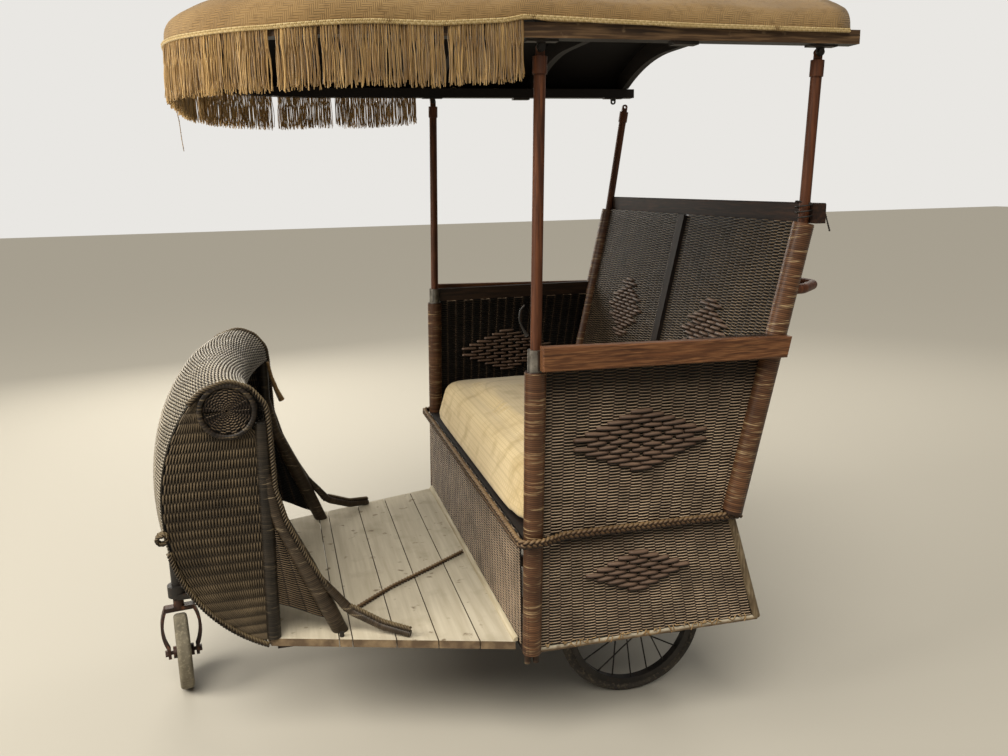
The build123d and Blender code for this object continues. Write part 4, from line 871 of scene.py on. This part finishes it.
OWN_PAINTS = {
    # The rim's inside colour is painted shade under the roof
    "canopy_rim": timber("weathered_ash_rim", "#2C1E12", "#523C27", "#7A5F42", (4, 50, 70), 0.55, scuff="#8A7358",
                         inside="#120A06"),
    # Painted shade: the bows under the roof are kept near black
    "canopy_bows": timber("shade_dark_ash_bows", "#0A0604", "#120B07", "#1A110B", (50, 4, 30), 0.75),
    # Painted shade: the top rail is darkened for the roof's shade on the back
    "top_rail": timber("oak_rail_with_painted_shade", "#120905", "#2A180E", "#402717", (50, 4, 60), 0.7),
    "arm_rails": timber("dark_oak_rails", "#1A110B", "#2B1D13", "#3D2A1C", (4, 60, 50), 0.5),
    "rear_stakes": timber("grey_worn_stakes", "#4A3D2C", "#6B5B44", "#8C7C62", (70, 70, 8), 0.7, scuff="#A2937A"),
    "seat_moulding": timber("cream_pine_moulding", "#A39579", "#BFB296", "#D2C7AE", (50, 3, 50), 0.7),
}
for subpart in frame["record"]["subparts"]:
    for face_slot in nodes[subpart["node"]].material_slots:
        face_slot.material = OWN_PAINTS.get(subpart["node"], paints[subpart["material_slot"]])


# Woven panels; a strand's half height is this share of its pitch
weave, diamond, binding, plait, fringe = weave_tree(), diamond_tree(), binding_tree(), plait_tree(), fringe_tree()
ROUND_CANE = dict(Steps=2, Swing=0.0018, Depth=0.0017, StakeRadius=0.0014, StakeSteps=14, StakeCrest=-0.5,
                  Wander=0.004, Seed=SEED)
STRAND_SHARE = 0.70


def woven(name, rows, away_from, node, slot, kind, paint=None, **sizes):
    """Weave a panel of one kind on rows of points, in place of a node."""
    column, strand = WEAVES[kind]
    grid = np.array(rows)
    middle = [n // 2 for n in grid.shape[:2]]
    wide, high = run_along(grid[middle[0]])[-1], run_along(grid[:, middle[1]])[-1]
    columns = round(wide / column)
    values = {**ROUND_CANE, "Columns": columns, "Stakes": 2 * columns, "Rows": round(high / strand),
              "Rise": STRAND_SHARE * strand, **sizes}
    return grow(weave, name, patch(rows, away_from), paint or paints[slot], slot, replaced=(node,), **values)


def weave_sides():
    """The upper and lower side panels."""
    for level in ("upper", "lower"):
        node = f"{level}_side_panels"
        for side, hand in SIDES:
            own = points_of(node)
            low_front, low_rear, high_front, high_rear = flat_corners(own[own[:, 1] * side > 0], side * PANEL_Y)
            rows = ruled(spanned(low_front, low_rear), spanned(high_front, high_rear))
            inward = (low_front[0], 0, low_front[2])
            woven(f"{level}_side_weave_{hand}", rows, inward, node, "woven_cane", "side", Steps=3)


def leaning(foot, head, inner, outer, low, high):
    """Rows of points on a panel across the chair, from foot to head, between two Y places."""
    return ruled(spanned((foot, inner, low), (foot, outer, low)), spanned((head, inner, high), (head, outer, high)))


def weave_seat_box():
    """The upright panel under the seat's front, and the leaning one behind."""
    low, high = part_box("front_panel")
    x = (low.x + high.x) / 2
    rows = leaning(x, x, low.y, high.y, low.z, high.z)
    woven("front_weave", rows, (x - 1, 0, low.z), "front_panel", "woven_cane", "front")
    low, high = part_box("rear_panel")
    rows = leaning(low.x + PANEL / 2, high.x - PANEL / 2, low.y, high.y, low.z, high.z)
    woven("rear_weave", rows, (0, 0, low.z), "rear_panel", "woven_cane", "rear")


def weave_back():
    """The two halves of the back, each side of its stile."""
    low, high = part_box("back_panels")
    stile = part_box("back_stile")[1].y
    for side, hand in SIDES:
        rows = leaning(high.x - PANEL / 2, low.x + PANEL / 2, side * stile, side * high.y, low.z, high.z)
        woven(f"back_weave_{hand}", rows, (-2, 0, high.z), "back_panels", "woven_cane", "back",
              EXTRA["deep_shade_cane"])


# Dash
def evened(points, count):
    """As many points evenly spaced along a chain."""
    chain = np.array(points, float)
    run = run_along(chain)
    at = np.linspace(0, run[-1], count)
    return np.stack([np.interp(at, run, chain[:, axis]) for axis in range(chain.shape[1])], axis=1)


def dash_form():
    """The dash's section at its middle, as X and Z at mid-skin, and the X of the axis it is swung round."""
    mesh = nodes["dash_sheet"].data
    skin = BVHTree.FromPolygons([v.co for v in mesh.vertices], [p.vertices for p in mesh.polygons])
    low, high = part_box("dash_sheet")
    heart = Vector(((low.x + high.x) / 2, 0, (low.z + high.z) / 2))
    aside = 0.95 * high.y
    middle, edge = (skin.ray_cast(heart + Vector((0, y, 0)), Vector((1, 0, 0)))[0].x for y in (0, aside))
    axis = (middle**2 - edge**2 - aside**2) / (2 * (middle - edge))
    disc_low, disc_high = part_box("dash_discs")
    roll_x = axis + math.hypot((disc_low.x + disc_high.x) / 2 - axis, disc_high.y)
    roll_z = (disc_low.z + disc_high.z) / 2
    section = []
    for degree in range(-112, 130):
        angle = math.radians(degree)
        ray = Vector((math.cos(angle), 0, math.sin(angle)))
        hit = skin.ray_cast(heart, ray)[0]
        if hit is not None:
            hit += ray * DASH_SKIN / 2
            section.append((hit.x, hit.z))
    out_x, out_z = section[-1][0] - roll_x, section[-1][1] - roll_z
    reach, start = math.hypot(out_x, out_z), math.atan2(out_z, out_x) % (2 * math.pi)
    for share in np.linspace(0, 1, 20)[1:]:
        angle, away = start + (1.25 * math.pi - start) * share, reach + (DASH_LIP - reach) * share
        section.append((roll_x + away * math.cos(angle), roll_z + away * math.sin(angle)))
    return evened(section, 100), axis


DASH_SECTION, DASH_AXIS = dash_form()


def dash_at(x, y):
    """Where a point of the dash's middle section comes at another Y."""
    return DASH_AXIS + math.sqrt((x - DASH_AXIS) ** 2 - y**2)


def dash_post_x(z):
    """X of a dash post's axis at a height."""
    (foot, low), (head, high) = DASH_POST_FOOT, DASH_POST_HEAD
    return foot + (head - foot) * (z - low) / (high - low)


def weave_dash():
    """The curved sheet, from the floor up and over the roll that makes the scroll."""
    low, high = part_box("dash_sheet")
    across = np.linspace(low.y + 0.002, high.y - 0.002, 41)
    rows = [[(dash_at(x, y), y, z) for y in across] for x, z in DASH_SECTION]
    heart = (low.x + 0.1, 0, (low.z + high.z) / 2)
    sheet = woven("dash_weave", rows, heart, "dash_sheet", "dash_cane", "dash", StakeSteps=50, Wander=0.002)
    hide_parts("dash_sheet", "dash_roll")


def weave_cheeks():
    """The dash's sides: upright strands close together, held by light bars across them."""
    ahead = DASH_SECTION[: DASH_SECTION[:, 1].argmax()]
    low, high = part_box("dash_discs")
    middle = (low.x + high.x) / 2
    heights = np.linspace(0.304, high.z - 0.015, 49)
    for side, hand in SIDES:
        y = side * DASH_Y
        edge_x = [dash_at(x, y) - DASH_SKIN / 2 for x, _ in ahead]
        edge = [(x, y, z) for x, z in zip(np.interp(heights, ahead[:, 1], edge_x), heights)]
        behind = [np.interp(z, (low.z, (low.z + high.z) / 2), (dash_post_x(z) + 0.012, middle)) for z in heights]
        rear = [(x, y, z) for x, z in zip(behind, heights)]
        woven(f"cheek_weave_{hand}", ruled(rear, edge, 20), (0.6, 0, 0.6), "dash_cheeks", "dash_cane", "cheek",
              EXTRA["shaded_cane"], StakeSteps=20, Wander=0.0)


def weave_gussets():
    """The small webs between each dash post and its wing arm, darkened with painted shade."""
    for side, hand in SIDES:
        y = side * (DASH_Y + 0.004)

        def line(post_z, arm_z):
            arm_x = np.interp(arm_z, [p[2] for p in WING_ROUTE[::-1]], [POST_X + p[0] for p in WING_ROUTE[::-1]])
            return spanned((dash_post_x(post_z), y, post_z), (arm_x, y, arm_z))

        rows = ruled(line(0.418, 0.330), line(0.650, 0.650))
        woven(f"gusset_weave_{hand}", rows, (0.6, 0, 0.6), "dash_gussets", "dash_cane", "gusset",
              EXTRA["deep_shade_cane"], Steps=3, Wander=0.0)


def weave_discs():
    """The scroll's round ends: strands woven round 13 spokes, in a rim bound with cane."""
    low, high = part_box("dash_discs")
    x, z = (low.x + high.x) / 2, (low.z + high.z) / 2
    turns = np.linspace(0, 2 * math.pi, 49)
    for side, hand in SIDES:
        face_y = side * (high.y - 0.004)
        rows = [[(x + r * math.cos(a), face_y, z + r * math.sin(a)) for a in turns]
                for r in np.linspace(0.003, DISC_R - 0.008, 6)]
        woven(f"disc_weave_{hand}", rows, (x, 0, z), "dash_discs", "dash_cane", "disc", EXTRA["deep_shade_cane"],
              Columns=2 * DISC_SPOKES, Stakes=DISC_SPOKES, Rows=15, Swing=0.0012, StakeRadius=0.0026, StakeSteps=6,
              StakeCrest=0.5, Wander=0.0)
        rim = [(x + DISC_R * math.cos(a), face_y, z + DISC_R * math.sin(a)) for a in turns]
        bind(f"disc_rim_{hand}", rim, (0.0068, 0.0068), "dash_cane", EXTRA["disc_binding"], ("dash_discs",),
             pitch=0.008, facets=8)


# Posts and arms bound with cane
def bind(name, route, girths, slot="wrapped_cane", paint=None, replaced=(), pitch=0.0050, facets=14):
    """Bind a bar along a route; girths are its radii from start to end."""
    chain = np.array([tuple(p) for p in route])
    run = run_along(chain)
    girth = np.interp(run / run[-1], np.linspace(0, 1, len(girths)), girths)
    return grow(binding, name, path_mesh([route], girth), paint or paints[slot], slot, replaced=replaced, Pitch=pitch,
                Ripple=0.0009, Facets=facets, Seed=SEED)


def bind_posts():
    """The front and rear posts of the seat."""
    low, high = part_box("front_posts")
    feet = points_of("front_posts")
    foot_x = feet[feet[:, 2] < low.z + 0.01][:, 0].mean()
    cap_low, cap_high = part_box("ferrules")
    lean = ((cap_low.x + cap_high.x) / 2 - foot_x) / ((cap_low.z + cap_high.z) / 2 - low.z)
    rear_low, rear_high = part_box("rear_posts")
    for side, hand in SIDES:
        y = side * POST_Y
        ends = [(foot_x + lean * (z - low.z), y, z) for z in (low.z + 0.027, cap_low.z)]
        bind(f"front_post_binding_{hand}", ends, (0.0235, 0.0265))
        ends = [(rear_high.x - 0.0255, y, rear_low.z + 0.014), (rear_low.x + 0.0255, y, rear_high.z - 0.007)]
        bind(f"rear_post_binding_{hand}", ends, (0.0266, 0.0266))


def bind_dash():
    """The dash's posts, and the wing arms with their tails, in place of the plain bars."""
    bars = (
        ("wing_arm", WING_ROUTE, 0.009, 0.110, (0.016, 0.020, 0.0235, 0.0245, 0.020)),
        ("wing_tail", TAIL_ROUTE, 0.0, 0.070, (0.009, 0.0125, 0.0115, 0.0095)),
    )
    for side, hand in SIDES:
        post = [(x, side * DASH_Y, z) for x, z in (DASH_POST_FOOT, DASH_POST_HEAD)]
        bind(f"dash_post_binding_{hand}", post, (0.018, 0.018), "dash_cane", EXTRA["post_binding"], ("dash_posts",))
        for name, route, ahead, radius, girths in bars:
            points = [(POST_X + x + ahead, side * away, z) for x, away, z in route]
            bind(f"{name}_binding_{hand}", bent(points, radius), girths, "dash_cane", EXTRA["dash_binding"],
                 ("dash_posts",))


# Plaits and ropes
PLAIT = dict(Strands=3, Pitch=0.042, Width=0.0075, Thickness=0.0042, Beat=2.0, Lead=0.0, StrandRadius=0.0052,
             StepsPerTurn=8, Seed=SEED)
ROPE = dict(Beat=1.0, Lead=math.pi / 2, Pitch=0.026, Width=0.0045, Thickness=0.0045, StrandRadius=0.0035)


def plaited(name, route, slot="plaited_cane", paint=None, replaced=(), **sizes):
    """A plait or a rope of three strands along a route."""
    return grow(plait, name, path_mesh([route]), paint or paints[slot], slot, replaced=replaced, **{**PLAIT, **sizes})


def plait_trim():
    """The braid round the seat, the ropes along the dash's edges, and the plait left on the floor."""
    low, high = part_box("seat_braid")
    z = (low.z + high.z) / 2
    side_y = PANEL_Y + PANEL / 2 + BRAID_R
    near = [(low.x, side_y, z), (POST_X - 0.090, side_y, z), (POST_X - 0.025, high.y - BRAID_R, z),
            (high.x - BRAID_R, high.y - BRAID_R, z)]
    far = [(x, -y, z) for x, y, z in reversed(near)]
    plaited("seat_braid_plait", bent(near + far, 0.028), replaced=("seat_braid",))
    floor_route = [(POST_X + x, y, DASH_POST_FOOT[1] + 0.0075) for x, y in LOOSE_PLAIT]
    plaited("floor_plait", bent(floor_route, 0.4), replaced=("loose_plait",), Pitch=0.036, Width=0.0042,
            Thickness=0.0028, StrandRadius=0.0034)
    for side, hand in SIDES:
        edge = [(POST_X + x - (0.007 if z < 0.7 else 0), side * (DASH_Y + (0.024 if z < 0.7 else 0.013)), z)
                for x, z in DASH_EDGE]
        tail = [(POST_X + x, side * (away + 0.002), z + 0.014) for x, away, z in TAIL_ROUTE[1:]]
        plaited(f"dash_rope_{hand}", bent(edge + tail, 0.060), "dash_cane", EXTRA["rope_cane"], **ROPE)
        hem = [(dash_at(x, DASH_Y) + 0.002, side * (DASH_Y + 0.006), z) for x, z in DASH_SECTION if z < HEM_TOP]
        plaited(f"dash_hem_{hand}", hem, "dash_cane", EXTRA["rope_cane"], **ROPE)


# Diamonds worked in flat strips on the sides and the back
def lay_diamonds():
    """Six diamonds: two on each side, one on each half of the back."""
    low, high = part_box("back_panels")
    lean = math.atan2(high.x - low.x - PANEL, high.z - low.z)
    back_x = high.x - PANEL / 2 - (BACK_DIAMOND_Z - low.z) * math.tan(lean)
    back_turn = Matrix.Rotation(-lean, 3, "Y") @ Matrix(((0, 0, 1), (1, 0, 0), (0, 1, 0)))
    for side, hand in SIDES:
        spots = (
            ("upper_diamond", (POST_X - 0.301, side * PANEL_Y, 0.841), (math.pi / 2, 0, 0), 0.1755, 0.0877, 0.026),
            ("lower_diamond", (POST_X - 0.297, side * PANEL_Y, 0.486), (math.pi / 2, 0, 0), 0.170, 0.0635, 0.026),
            ("back_diamond", (back_x, side * 0.31, BACK_DIAMOND_Z), back_turn.to_euler(), 0.150, 0.124, 0.024),
        )
        for name, place, turn, half, high, depth in spots:
            grow(diamond, f"{name}_{hand}", bpy.data.meshes.new(name), EXTRA["diamond_cane"], "woven_cane",
                 HalfWidth=half, HalfHeight=high, StripLength=0.050, StripHeight=0.0120, StripDepth=depth,
                 PitchAlong=0.0300, PitchUp=0.0125, Place=place, Turn=tuple(turn), Seed=SEED)


# Canopy: the roof's section is swept round its flat middle, and the middle is filled in rows
def roof_section(inset):
    """Half of the roof's section, from its flat middle outwards: distance, height."""
    low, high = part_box("canopy_cover")
    corner = high.y - ROOF_FLAT
    shoulder = corner - ROOF_SHOULDER_R
    shoulder_z = low.z + ROOF_WALL
    drop = high.z - shoulder_z
    arch_r = (shoulder**2 + drop**2 - ROOF_SHOULDER_R**2) / (2 * (drop - ROOF_SHOULDER_R))
    arch_z = high.z - arch_r
    bend = math.atan2(shoulder_z - arch_z, shoulder)
    line = []
    for angle in np.linspace(math.pi / 2, bend, ARCH_STEPS):
        line.append(((arch_r - inset) * math.cos(angle), arch_z + (arch_r - inset) * math.sin(angle)))
    for angle in np.linspace(bend, 0, SHOULDER_STEPS + 1)[1:]:
        reach = ROOF_SHOULDER_R - inset
        line.append((shoulder + reach * math.cos(angle), shoulder_z + reach * math.sin(angle)))
    line.append((corner - inset, low.z))
    return line


def roof_path(steps=SIDE_STEPS):
    """Round the roof from rear left to rear right: a place on the flat middle's edge, and the way out."""
    low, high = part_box("canopy_cover")
    corner_x = high.x - (high.y - ROOF_FLAT)
    side = np.linspace(low.x - ROOF_OVERHANG, corner_x, steps)
    turns = np.linspace(0, math.pi / 2, CORNER_STEPS + 1)[1:]
    path = [((x, ROOF_FLAT), (0, 1)) for x in side]
    path += [((corner_x, ROOF_FLAT), (math.sin(a), math.cos(a))) for a in turns]
    path += [((corner_x, y), (1, 0)) for y in np.linspace(ROOF_FLAT, -ROOF_FLAT, FRONT_STEPS + 1)[1:]]
    path += [((corner_x, -ROOF_FLAT), (math.cos(a), -math.sin(a))) for a in turns]
    return path + [((x, -ROOF_FLAT), (0, -1)) for x in side[-2::-1]]


def hem_drop(x):
    """How far the cloth's edge hangs below the even line at this X."""
    return float(np.interp(x, *zip(*HEM_DROPS)))


def sag_at(x):
    """How far the cloth hangs between two bows at this X."""
    for start, stop in zip(BOWS, BOWS[1:]):
        if start <= x - POST_X <= stop:
            return ROOF_SAG * math.sin(math.pi * (x - POST_X - start) / (stop - start)) ** 2
    return 0.0


def wave(travelled, height, closeness, lead):
    """A wave's height after this way along the cloth's edge."""
    return height * math.sin(travelled * closeness + lead)


def cloth_columns(work, section, run):
    """The cloth outside its flat middle, as columns of points with their place on the cloth."""
    columns = []
    travelled = 0.0
    last = None
    for (ax, ay), (dx, dy) in roof_path():
        hem = Vector((ax + dx * section[-1][0], ay + dy * section[-1][0]))
        travelled += (hem - last).length if last else 0.0
        last = hem
        column = []
        for (out, z), length in zip(section, run):
            low_part = max(0.0, (length / run[-1] - (1 - LOOSE_SHARE)) / LOOSE_SHARE)
            ripple = low_part * sum(wave(travelled, *each) for each in RIPPLES)
            lift = low_part * wave(travelled, *LIFT)
            drop = sag_at(ax + dx * out) * (1 - low_part) + hem_drop(ax + dx * out) * low_part
            place = (ax + dx * (out + ripple), ay + dy * (out + ripple), z - drop + lift)
            column.append((work.verts.new(place), (travelled, run[-1] - length)))
        columns.append(column)
    return columns


def cloth_shell(name, inset, thickness, paint):
    """One sheet of the canopy over its bows, with its cloth map in metres; returns it and its flat sizes."""
    section = roof_section(inset)
    run = run_along(section)
    work = bmesh.new()
    chart = work.loops.layers.uv.new("cloth")
    columns = cloth_columns(work, section, run)
    # These rows stop one short of the front corners, which leaves a slot of one side step across the top
    strips = FRONT_STEPS + 1
    rows = []
    for index in range(SIDE_STEPS - 1):
        (left, (across, down)), (right, _) = columns[index][0], columns[-1 - index][0]
        row = [(left, (across, down))]
        for step in range(1, strips):
            share = step / strips
            row.append((work.verts.new(left.co.lerp(right.co, share)), (across, down + 2 * ROOF_FLAT * share)))
        row.append((right, (across, down + 2 * ROOF_FLAT)))
        rows.append(row)
    for band in (columns, rows):
        for first, second in zip(band, band[1:]):
            for ring in zip(first, second, second[1:], first[1:]):
                corners = []
                for vertex, mapped in ring:
                    if all((vertex.co - other.co).length > 1e-6 for other, _ in corners):
                        corners.append((vertex, mapped))
                face = work.faces.new([vertex for vertex, _ in corners])
                for loop, (_, mapped) in zip(face.loops, corners):
                    loop[chart].uv = mapped
    bmesh.ops.remove_doubles(work, verts=work.verts, dist=1e-5)
    bmesh.ops.recalc_face_normals(work, faces=work.faces)
    if sum(face.normal.z * face.calc_area() for face in work.faces) < 0:
        bmesh.ops.reverse_faces(work, faces=work.faces)
    for face in work.faces:
        face.smooth = True
    area = sum(face.calc_area() for face in work.faces)
    mesh = bpy.data.meshes.new(name)
    work.to_mesh(mesh)
    work.free()
    mesh.materials.append(paint)
    sheet = bpy.data.objects.new(name, mesh)
    bpy.context.collection.objects.link(sheet)
    solid = sheet.modifiers.new("thickness", "SOLIDIFY")
    solid.thickness = thickness
    solid.offset = -1
    low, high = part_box("canopy_cover")
    width = 2 * (ROOF_FLAT + run[-1])
    length = high.x - low.x + ROOF_OVERHANG - (high.y - ROOF_FLAT) + run[-1]
    return sheet, (width, length), area


def edge_line(from_x, drop, out=0.0):
    """The cloth's lower edge, from this X on the left round the front to the same on the right."""
    reach = roof_section(0)[-1][0] + out
    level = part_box("canopy_cover")[0].z - drop
    path = [(ax + dx * reach, ay + dy * reach) for (ax, ay), (dx, dy) in roof_path(60)]
    return [(x, y, level - hem_drop(x)) for x, y in path if x >= from_x]


def with_slits(route):
    """A route as runs that leave the fringe's slits open on the near side."""
    chains = [[]]
    for before, after in zip(route, route[1:]):
        steps = max(2, round(math.dist(before, after) / 0.002))
        for share in np.arange(steps) / steps:
            x, y, z = (a + (b - a) * share for a, b in zip(before, after))
            if y > 0 and any(abs(x - at) < half for at, half in SLITS):
                chains.append([])
            else:
                chains[-1].append((x, y, z))
    return [chain for chain in chains if len(chain) > 1]


def build_canopy():
    """The outer cloth and, inside it, a sheet painted near black as the shade under the roof, the braid on its edge,
    and the fringe.
    """
    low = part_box("canopy_cover")[0]
    trim = plaited("canopy_braid", edge_line(low.x - ROOF_OVERHANG, -0.005, 0.0012), "canopy_cloth",
                   EXTRA["cream_braid"], Pitch=0.015, Width=0.0036, Thickness=0.0016, StrandRadius=0.0024,
                   StepsPerTurn=6)
    for layer, (inset, spacing) in enumerate(FRINGE_LAYERS):
        runs = with_slits(edge_line(FRINGE_START, -0.002, -inset))
        grow(
            fringe, f"fringe_{layer}", path_mesh(runs), EXTRA["fringe"], "canopy_cloth", replaced=("canopy_fringe",),
            Spacing=spacing, Length=FRINGE_LENGTH, ThreadRadius=0.00125, Scatter=0.0012, Gaps=0.36,
            Seed=SEED + layer,
        )
    outer, flat, area = cloth_shell("canopy_cloth", 0.0, CLOTH_THICKNESS, paints["canopy_cloth"])
    dress(outer, replaced=("canopy_cover",))
    # Painted shade: a sheet just inside the cloth, near black, for the shade under the roof
    underside_shade, flat, area = cloth_shell("canopy_underside_shade", LINING_INSET, LINING_THICKNESS, EXTRA["underside_shade"])
    dress(underside_shade, replaced=("canopy_cover",))


# Cushion
CUSHION_VOXEL = 0.010
CUSHION_MARGINS = (0.014, 0.012, 0.014)
CUSHION_REACH = 0.024
# How far past its solid's low and high corner it may swell
CUSHION_ROOM = ((-0.006, 0.002, 0.0005), (0.012, -0.002, 0.012))
# A dent near the front corner: its middle, radius and depth
CUSHION_DENT = ((-0.075, 0.575, 0.705), 0.030, 0.012)
CUSHION_FRAMES = 20
CUSHION_PRESSURE = 4
# Its form: cuts on each face, how square it is seen from above, over and under its middle, and the front's slope
CUSHION_CUTS = 20
CUSHION_CORNERS = 9
CUSHION_TOP, CUSHION_BASE = 4, 16
CUSHION_SLOPE = 0.10


def cushion_form():
    """The seat cushion before it is stuffed: flat below, crowned above, its front sloping down to the braid."""
    low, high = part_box("seat_cushion")
    half = (high - low) / 2 - Vector(CUSHION_MARGINS)
    middle = (low + high) / 2 + Vector((0.006, 0, -0.006))
    work = bmesh.new()
    bmesh.ops.create_cube(work, size=2)
    bmesh.ops.subdivide_edges(work, edges=work.edges, cuts=CUSHION_CUTS, use_grid_fill=True)
    for vertex in work.verts:
        x, y, z = vertex.co
        height = CUSHION_TOP if z > 0 else CUSHION_BASE
        across = (abs(x) ** CUSHION_CORNERS + abs(y) ** CUSHION_CORNERS) ** (height / CUSHION_CORNERS)
        reach = (across + abs(z) ** height) ** (1 / height)
        x, y, z = x / reach, y / reach, z / reach
        slope = CUSHION_SLOPE * (z + 1) * max(0.0, x) ** 2
        vertex.co = (middle.x + half.x * (x - slope), middle.y + half.y * y, middle.z + half.z * z)
    mesh = bpy.data.meshes.new("seat_cushion_cover")
    work.to_mesh(mesh)
    work.free()
    return mesh


def stuff_cushion():
    """The cushion, blown up as cloth, kept only where it swells outward and near its solid, then smoothed once."""
    cushion = bpy.data.objects.new("seat_cushion_cover", cushion_form())
    bpy.context.collection.objects.link(cushion)
    remesh = cushion.modifiers.new("remesh", "REMESH")
    remesh.mode = "VOXEL"
    remesh.voxel_size = CUSHION_VOXEL
    settle(cushion)
    start = np.array([tuple(v.co) for v in cushion.data.vertices])
    cloth = cushion.modifiers.new("cloth", "CLOTH")
    cloth.settings.use_pressure = True
    cloth.settings.uniform_pressure_force = CUSHION_PRESSURE
    cloth.settings.effector_weights.gravity = 0
    cloth.point_cache.frame_end = CUSHION_FRAMES
    for step in range(1, CUSHION_FRAMES + 1):
        bpy.context.scene.frame_set(step)
    settle(cushion)
    bpy.context.scene.frame_set(1)
    low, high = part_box("seat_cushion")
    now = np.array([tuple(v.co) for v in cushion.data.vertices])
    shift = now - start
    away = start - (low + high) / 2
    length = np.linalg.norm(shift, axis=1, keepdims=True)
    outward = (shift * away).sum(axis=1, keepdims=True) / np.maximum(length, 1e-9)
    outward = np.clip(4 * outward / np.linalg.norm(away, axis=1, keepdims=True), 0, 1)
    now = start + shift * outward * np.minimum(1.0, CUSHION_REACH / np.maximum(length, 1e-9))
    now = np.clip(now, np.array(low) + CUSHION_ROOM[0], np.array(high) + CUSHION_ROOM[1])
    dent, radius, depth = CUSHION_DENT
    near = np.exp(-((np.linalg.norm(now - dent, axis=1) / radius) ** 2))
    now[:, 0] -= depth * near
    cushion.data.vertices.foreach_set("co", now.ravel())
    smooth = cushion.modifiers.new("smooth", "SUBSURF")
    smooth.levels = smooth.render_levels = 1
    settle(cushion)
    cushion.data.materials.clear()
    cushion.data.materials.append(paints["seat_cloth"])
    for polygon in cushion.data.polygons:
        polygon.use_smooth = True
    dress(cushion, replaced=("seat_cushion",))


def settle(piece):
    """Turn a piece with its modifiers into a plain mesh."""
    done = bpy.data.meshes.new_from_object(piece.evaluated_get(bpy.context.evaluated_depsgraph_get()))
    piece.modifiers.clear()
    piece.data = done
    done.name = piece.name


# Small things that hang, tie or stick out: a name, a route (ahead of the front posts, to the left, and height),
# radii along it, a slot and a paint of its own
TRIFLES = (
    ("frayed_strap", ((0.612, -0.398, 0.905), (0.604, -0.405, 0.853), (0.590, -0.409, 0.805), (0.574, -0.411, 0.765)),
     (0.0045, 0.006, 0.0075, 0.010), "dash_cane", "frayed"),
    ("loose_thread", ((0.789, 0.130, 1.715), (0.787, 0.060, 1.665), (0.788, 0.020, 1.620), (0.789, -0.030, 1.590)),
     (0.0006, 0.0006), "canopy_cloth", "fringe"),
    ("pole_hook", ((0.010, 0.697, 1.206), (0.022, 0.701, 1.196), (0.026, 0.703, 1.172), (0.016, 0.702, 1.150),
                   (0.006, 0.700, 1.134)), (0.0018, 0.0018, 0.0018, 0.0020, 0.0048), "iron_dark", None),
    ("floor_peg", ((0.466, 0.470, 0.325), (0.466, 0.470, 0.286)), (0.006, 0.006), "iron_dark", None),
)
# The knot on the dash: its middle as above, its radius and what it climbs; the wire round the rear pole likewise
KNOT = ((0.893, 0.420, 0.627), 0.012, 0.0018)
WIRE_HEIGHT = 1.405
WIRE_R = 0.021
WIRE_CLIMB = 0.0022
FRAYED_ENDS = 70


def add_trifles():
    """The strap, thread, hook and peg, the knot on the dash, the wire on the rear pole, and frayed cane ends."""
    for name, route, girths, slot, paint in TRIFLES:
        points = [(POST_X + x, y, z) for x, y, z in route]
        bind(name, bent(points, 0.03, 4), girths, slot, EXTRA.get(paint), pitch=0.006, facets=6)
    turns = np.linspace(0, 4.6 * math.pi, 44)
    (x, y, z), radius, climb = KNOT
    knot = [(POST_X + x + radius * math.cos(a), y + climb * a, z + radius * math.sin(a)) for a in turns]
    plaited("dash_knot", knot, "dash_cane", EXTRA["rope_cane"], **{**ROPE, "Width": 0.0028, "Thickness": 0.0028,
                                                                "StrandRadius": 0.0030})
    pole = points_of("poles")
    pole = pole[(pole[:, 0] < -0.5) & (pole[:, 1] > 0)]
    ends = (pole[:, 2].min(), pole[:, 2].max())
    foot, head = (pole[np.abs(pole[:, 2] - level) < 0.008].mean(axis=0) for level in ends)
    tie = foot + (head - foot) * (WIRE_HEIGHT - foot[2]) / (head[2] - foot[2])
    turns = np.linspace(0, 6 * math.pi, 60)
    wire = [tie + (WIRE_R * math.cos(a), WIRE_R * math.sin(a), WIRE_CLIMB * a - 0.02) for a in turns]
    wire += [tie + (-0.022, 0.020, 0.012), tie + (-0.045, 0.024, -0.010), tie + (-0.062, 0.022, -0.055)]
    bind("pole_wire", wire, (0.0016, 0.0016), "iron_dark", pitch=0.006, facets=5)
    chance = np.random.default_rng(SEED)
    low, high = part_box("lower_side_panels")
    for side, hand in SIDES:
        chains = []
        for x in chance.uniform(low.x + 0.02, high.x - 0.02, FRAYED_ENDS):
            start = np.array((x, side * (PANEL_Y + 0.004), low.z + chance.uniform(0.001, 0.010)))
            reach = chance.uniform((-0.014, 0.001, -0.016), (0.014, 0.006, 0.004)) * (1, side, 1)
            chains.append([start, start + reach * 0.5 + (0, side * 0.002, 0), start + reach])
        grow(binding, f"frayed_ends_{hand}", path_mesh(chains, 0.0016), EXTRA["frayed"], "woven_cane", Pitch=0.008,
             Ripple=0.0003, Facets=4, Seed=SEED)


for step in (
    weave_sides, weave_seat_box, weave_back, weave_dash, weave_cheeks, weave_gussets, weave_discs, bind_posts,
    bind_dash, plait_trim, lay_diamonds, build_canopy, stuff_cushion, add_trifles, place_camera, build_stage,
):
    step()
